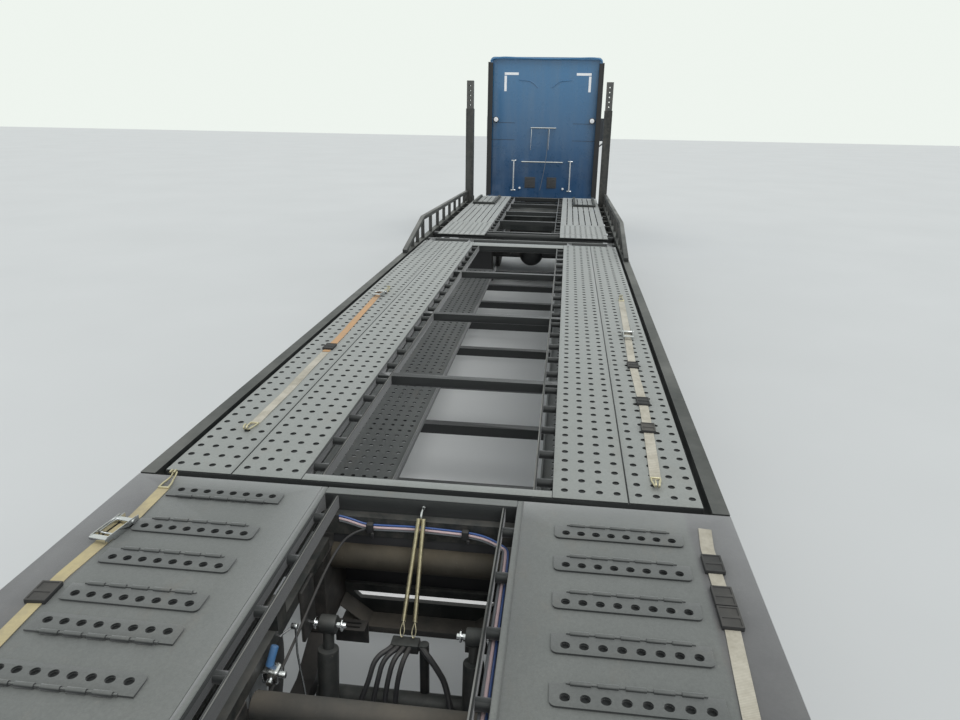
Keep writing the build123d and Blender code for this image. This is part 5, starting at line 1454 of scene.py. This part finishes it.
def fit_wall_side(side, tag):
    """Half of the wall: pressed line, work lamp, step lamp, seams, the extender's lip and the bar's ends."""
    wall = CAB_REAR
    ridge = bent_line(f"pressed_line_{tag}", [
        (wall - 0.002, side * 0.560, 3.520), (wall - 0.004, side * 0.380, 3.505),
        (wall - 0.005, side * 0.300, 3.495), (wall - 0.004, side * 0.230, 3.440),
        (wall - 0.002, side * 0.150, 3.375)], 0.010)
    done(ridge, "tractor", cab_blue, 60)
    y, z = side * 1.025, 2.715
    fitted(f"work_lamp_bezel_{tag}", "tractor", rubber, "rubber_black",
           bar("bezel", (wall - 0.082, y, z), (wall - 0.068, y, z), 0.061, 32, 0.005),
           bar("foot", (wall - 0.075, y, z - 0.04), (wall - 0.004, y, z - 0.06), 0.014))
    lens = bar(f"work_lamp_lens_{tag}", (wall - 0.089, y, z), (wall - 0.080, y, z), 0.048, 32, 0.004)
    done(lens, "tractor", clear_lens)
    small = bar(f"step_lamp_{tag}", (wall - 0.030, side * 0.475, 1.280), (wall - 0.001, side * 0.475, 1.280),
                0.024, 20, 0.004)
    done(small, "tractor", clear_lens)
    for label, seam_z, reach in WALL_SEAMS:
        seam = plate(f"wall_seam_{label}_{tag}", (wall - 0.0022, side * 0.62, seam_z - 0.004),
                     (wall + 0.001, side * reach, seam_z + 0.004), 0.0008, 1)
        done(seam, "tractor", rubber)
    lip_plate = plate(f"extender_lip_{tag}", (wall - 0.118, side * 1.105, 1.120),
                      (wall - 0.106, side * 1.208, 3.850), 0.005, 3)
    done(lip_plate, "tractor", rubber)
    end_y = side * 0.615
    ends = [cross_bar("bar_end", wall - 0.060, end_z, end_y - 0.050, end_y + 0.050, 0.014, 16)
            for end_z in (1.868, 1.236)]
    fitted(f"grab_bar_ends_{tag}", "tractor", chrome, "bright_chrome", *ends)


def fit_vent(tag, y_low, y_high):
    """A vent opening of the wall with its louvres."""
    parts = [plate("vent_frame", (CAB_REAR - 0.012, y_low, 1.285), (CAB_REAR - 0.001, y_high, 1.520), 0.004)]
    for index in range(VENT_LOUVRES):
        z = 1.310 + index * 0.031
        parts.append(plate("louvre", (CAB_REAR - 0.020, y_low + 0.012, z),
                           (CAB_REAR - 0.010, y_high - 0.012, z + 0.016), 0.003))
    fitted(f"wall_vent_{tag}", "tractor", dash_plastic, "rubber_black", *parts)


def fit_roof_edge():
    """The roof's rear lip, and the overhang that it ends."""
    wall = CAB_REAR
    lip = bent_line("roof_lip", [
        (wall - 0.060, 1.165, 3.880), (wall - 0.070, 1.120, 3.932), (wall - 0.080, 0.960, 3.950),
        (wall - 0.082, 0.820, 3.955), (wall - 0.078, 0.500, 3.941), (wall - 0.076, 0.0, 3.932),
        (wall - 0.078, -0.550, 3.940), (wall - 0.082, -0.930, 3.955), (wall - 0.078, -1.060, 3.948),
        (wall - 0.070, -1.130, 3.930), (wall - 0.060, -1.165, 3.880)], 0.018)
    done(lip, "tractor", cab_blue, 60)
    fitted("roof_overhang", "tractor", cab_blue, "blue_paint",
           plate("overhang", (wall - 0.085, -1.130, 3.918), (wall + 0.002, 1.130, 3.934), 0.004),
           plate("overhang_end_left", (wall - 0.070, 1.120, 3.780), (wall + 0.002, 1.150, 3.930), 0.006),
           plate("overhang_end_right", (wall - 0.070, -1.150, 3.780), (wall + 0.002, -1.120, 3.930), 0.006))


def hang_cord():
    """The stays of the upper bar, and a thin cord from it past the lower bar."""
    wall = CAB_REAR
    cord = bent_line("hanging_cord", [
        (wall - 0.062, -0.110, 2.545), (wall - 0.070, -0.108, 2.350), (wall - 0.085, -0.095, 2.060),
        (wall - 0.086, -0.078, 1.850), (wall - 0.080, -0.035, 1.560), (wall - 0.060, 0.023, 1.245)], 0.006)
    done(cord, "tractor", line_grey)
    fitted("bar_stays", "tractor", chrome, "bright_chrome",
           bar("stay_left", (wall - 0.058, 0.250, 2.545), (wall - 0.030, 0.262, 2.100), 0.006),
           bar("stay_right", (wall - 0.058, -0.130, 2.545), (wall - 0.030, -0.120, 2.100), 0.006))


fit_corner_mark(1, "left", 0.570, 0.870)
fit_corner_mark(-1, "right", 0.650, 0.960)
for side, tag in SIDES:
    fit_wall_side(side, tag)
fit_vent("left", 0.135, 0.366)
fit_vent("right", -0.328, -0.119)
fit_roof_edge()
hang_cord()

# Cab inside


def cushion(name, low, high, crown, seams=3):
    """A stuffed pad: its faces crowned, its edges piped in, with sewn channels across it."""
    pad = plate(name, low, high, 0)
    bpy.ops.object.mode_set(mode="EDIT")
    bpy.ops.mesh.select_all(action="SELECT")
    bpy.ops.mesh.subdivide(number_cuts=9)
    bpy.ops.object.mode_set(mode="OBJECT")
    centre = Vector([(a + b) / 2 for a, b in zip(low, high)])
    half = Vector([(b - a) / 2 for a, b in zip(low, high)])
    for vertex in pad.data.vertices:
        share = [(vertex.co[i] - centre[i]) / half[i] for i in range(3)]
        for axis in range(3):
            others = [share[i] for i in range(3) if i != axis]
            fullness = (1 - others[0] ** 4) * (1 - others[1] ** 4)
            vertex.co[axis] = centre[axis] + half[axis] * share[axis] * (1 - crown * (1 - fullness))
        channel = abs(math.sin(share[1] * seams * math.pi / 2 + math.pi / 2))
        if share[2] > 0.8:
            vertex.co.z -= 0.006 * (1 - min(1, channel * 3))
    smooth = pad.modifiers.new("soft", "SUBSURF")
    smooth.levels = smooth.render_levels = 1
    apply_modifiers(pad)
    return pad


def fit_interior():
    """Two seats and the bunk, with the pedestals under them."""
    pads = []
    for side, tag in ((1, "driver"), (-1, "passenger")):
        y = side * 0.520
        base = cushion(f"{tag}_seat_cushion", (8.505, y - 0.248, 1.505), (9.025, y + 0.248, 1.640), 0.05)
        back = cushion(f"{tag}_seat_back", (-0.065, -0.236, -0.330), (0.065, 0.236, 0.330), 0.06)
        back.rotation_euler = (0, math.radians(-10), 0)
        back.location = (8.512, y, 1.985)
        set_place(back)
        pads += [base, back]
        fitted(f"{tag}_seat_base", "tractor", dash_plastic, "dash_plastic",
               plate("pedestal", (8.580, y - 0.160, 1.122), (8.940, y + 0.160, 1.440), 0.02, 3),
               plate("seat_tray", (8.520, y - 0.230, 1.440), (9.000, y + 0.230, 1.503), 0.012, 3))
    for pad in pads:
        done(pad, "tractor", seat_cloth, 60)
    mattress = cushion("bunk_mattress", (6.745, -1.090, 1.562), (7.555, 1.090, 1.738), 0.04, 7)
    done(mattress, "tractor", bunk_cloth, 60)
    locker = plate("bunk_locker", (6.745, -1.095, 1.124), (7.555, 1.095, 1.556), 0.012, 3)
    done(locker, "tractor", dash_plastic)
    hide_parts("seats_and_bunk")


fit_interior()

# Outside of the tractor

ROOF_HALF_WIDTH = 1.180
BROW_LAMPS = (-0.900, -0.220, 0.0, 0.220, 0.900)
GRILLE_SLATS = 9
CHEEK_OUTLINE = ((11.305, 0.830), (11.470, 0.830), (11.470, 1.130), (11.432, 1.375), (11.305, 1.575))


def is_roof_edge(a, b):
    """True along the outer edges of the roof's sides and top, apart from the rear wall's."""
    outer = max(abs(abs(a.y) - ROOF_HALF_WIDTH), abs(a.y - b.y)) < 0.002
    return outer and min(a.z, b.z) > 2.875 and max(a.z, b.z) > 2.9 and max(a.x, b.x) > 7.0


def round_bodywork():
    """The roof with its outer edges rounded as pressed sheet is."""
    roof = merged_copy("roof_cap", "rounded_roof")
    pick(roof)
    bpy.ops.object.mode_set(mode="EDIT")
    bpy.ops.mesh.select_all(action="SELECT")
    bpy.ops.mesh.dissolve_limited(angle_limit=math.radians(1))
    bpy.ops.object.mode_set(mode="OBJECT")
    bevel_edges(roof, 0.095, 7, is_roof_edge)
    done(roof, "tractor", cab_blue, 40)
    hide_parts("roof_cap")


def panel(name, corners, thickness):
    """A flat panel between its corners, made thick along one direction."""
    pick_nothing()
    bpy.ops.mesh.primitive_circle_add(vertices=len(corners), radius=1, fill_type="NGON")
    piece = bpy.context.object
    piece.name = name
    for vertex, corner in zip(piece.data.vertices, corners):
        vertex.co = corner
    bpy.ops.object.mode_set(mode="EDIT")
    bpy.ops.mesh.select_all(action="SELECT")
    bpy.ops.mesh.extrude_region_move(TRANSFORM_OT_translate={"value": thickness})
    bpy.ops.object.mode_set(mode="OBJECT")
    face_out(piece)
    set_place(piece)
    round_edges(piece, 0.002)
    return piece


def fit_grille():
    """Grille bars in their rim, and the panel that closes the gap above them."""
    back, front = 11.440, 11.468
    parts = [plate("grille_rim", (back, -0.328, 0.902), (front, -0.300, 1.398), 0.005, 3),
             plate("grille_rim", (back, 0.300, 0.902), (front, 0.328, 1.398), 0.005, 3),
             plate("grille_rim", (back, -0.328, 0.902), (front, 0.328, 0.930), 0.005, 3),
             plate("grille_rim", (back, -0.328, 1.370), (front, 0.328, 1.398), 0.005, 3),
             plate("grille_back", (11.441, -0.320, 0.910), (11.444, 0.320, 1.390), 0)]
    for index in range(GRILLE_SLATS):
        z = 0.958 + index * 0.046
        parts.append(plate("slat", (11.446, -0.302, z), (11.466, 0.302, z + 0.014), 0.004, 3))
    grille = fitted("grille_bars", "hood_body", chrome, "bright_chrome", *parts)
    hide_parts("grille")
    filler = panel("nose_filler", [(11.437, -0.327, 1.401), (11.437, 0.327, 1.401), (11.383, 0.327, 1.477),
                                   (11.383, -0.327, 1.477)], (-0.016, 0, -0.012))
    done(filler, "hood_body", cab_blue)


def fit_nose_side(side, tag):
    """The panel beside the nose, the lamp's bezel, door handle, side marker and wiper of one side."""
    corners = [(x, side * (0.556 + (11.480 - x) * 0.8889), z) for x, z in CHEEK_OUTLINE]
    cheek = panel(f"nose_cheek_{tag}", corners, (-0.008, side * -0.009, 0))
    done(cheek, "hood_body", cab_blue)
    bezel = plate(f"lamp_bezel_{tag}", (11.325, side * 0.826, 0.866), (11.338, side * 1.114, 0.979), 0.004)
    cut_away(bezel, plate("lamp_window", (11.30, side * 0.842, 0.882), (11.36, side * 1.098, 0.963), 0))
    done(bezel, "hood_body", bumper_grey)
    skin_y, grip_y, z = side * 1.118, side * 1.150, 1.725
    fitted(f"door_handle_{tag}", f"door_{tag}_body", chrome, "bright_chrome",
           plate("handle_plate", (8.600, side * 1.1205 - 0.002, 1.690),
                 (8.790, side * 1.1205 + 0.004 * side, 1.760), 0.0015),
           bar("handle_grip", (8.620, grip_y, z), (8.770, grip_y, z), 0.010),
           cross_bar("handle_post", 8.630, z, skin_y, grip_y, 0.008),
           cross_bar("handle_post", 8.760, z, skin_y, grip_y, 0.008))
    marker = plate(f"side_marker_{tag}", (10.880, side * 1.214, 1.030), (10.960, side * 1.224, 1.065), 0.003)
    done(marker, "hood_body", amber_lens)
    foot, tip = (9.772, side * 0.180, 2.052), (9.610, side * 0.780, 2.320)
    fitted(f"wiper_{tag}", "tractor", rubber, "rubber_black",
           bar("arm", foot, (9.665, side * 0.480, 2.222), 0.007, 10),
           bar("blade", (9.726, side * 0.260, 2.128), tip, 0.008, 10))


def fit_brow_lamps():
    """Five marker lamps on the roof's brow."""
    for index, y in enumerate(BROW_LAMPS):
        lamp = plate(f"brow_lamp_{index}", (9.205, y - 0.045, 2.945), (9.262, y + 0.045, 2.975), 0.010, 3)
        done(lamp, "tractor", amber_lens)


round_bodywork()
fit_grille()
for side, tag in SIDES:
    fit_nose_side(side, tag)
fit_brow_lamps()
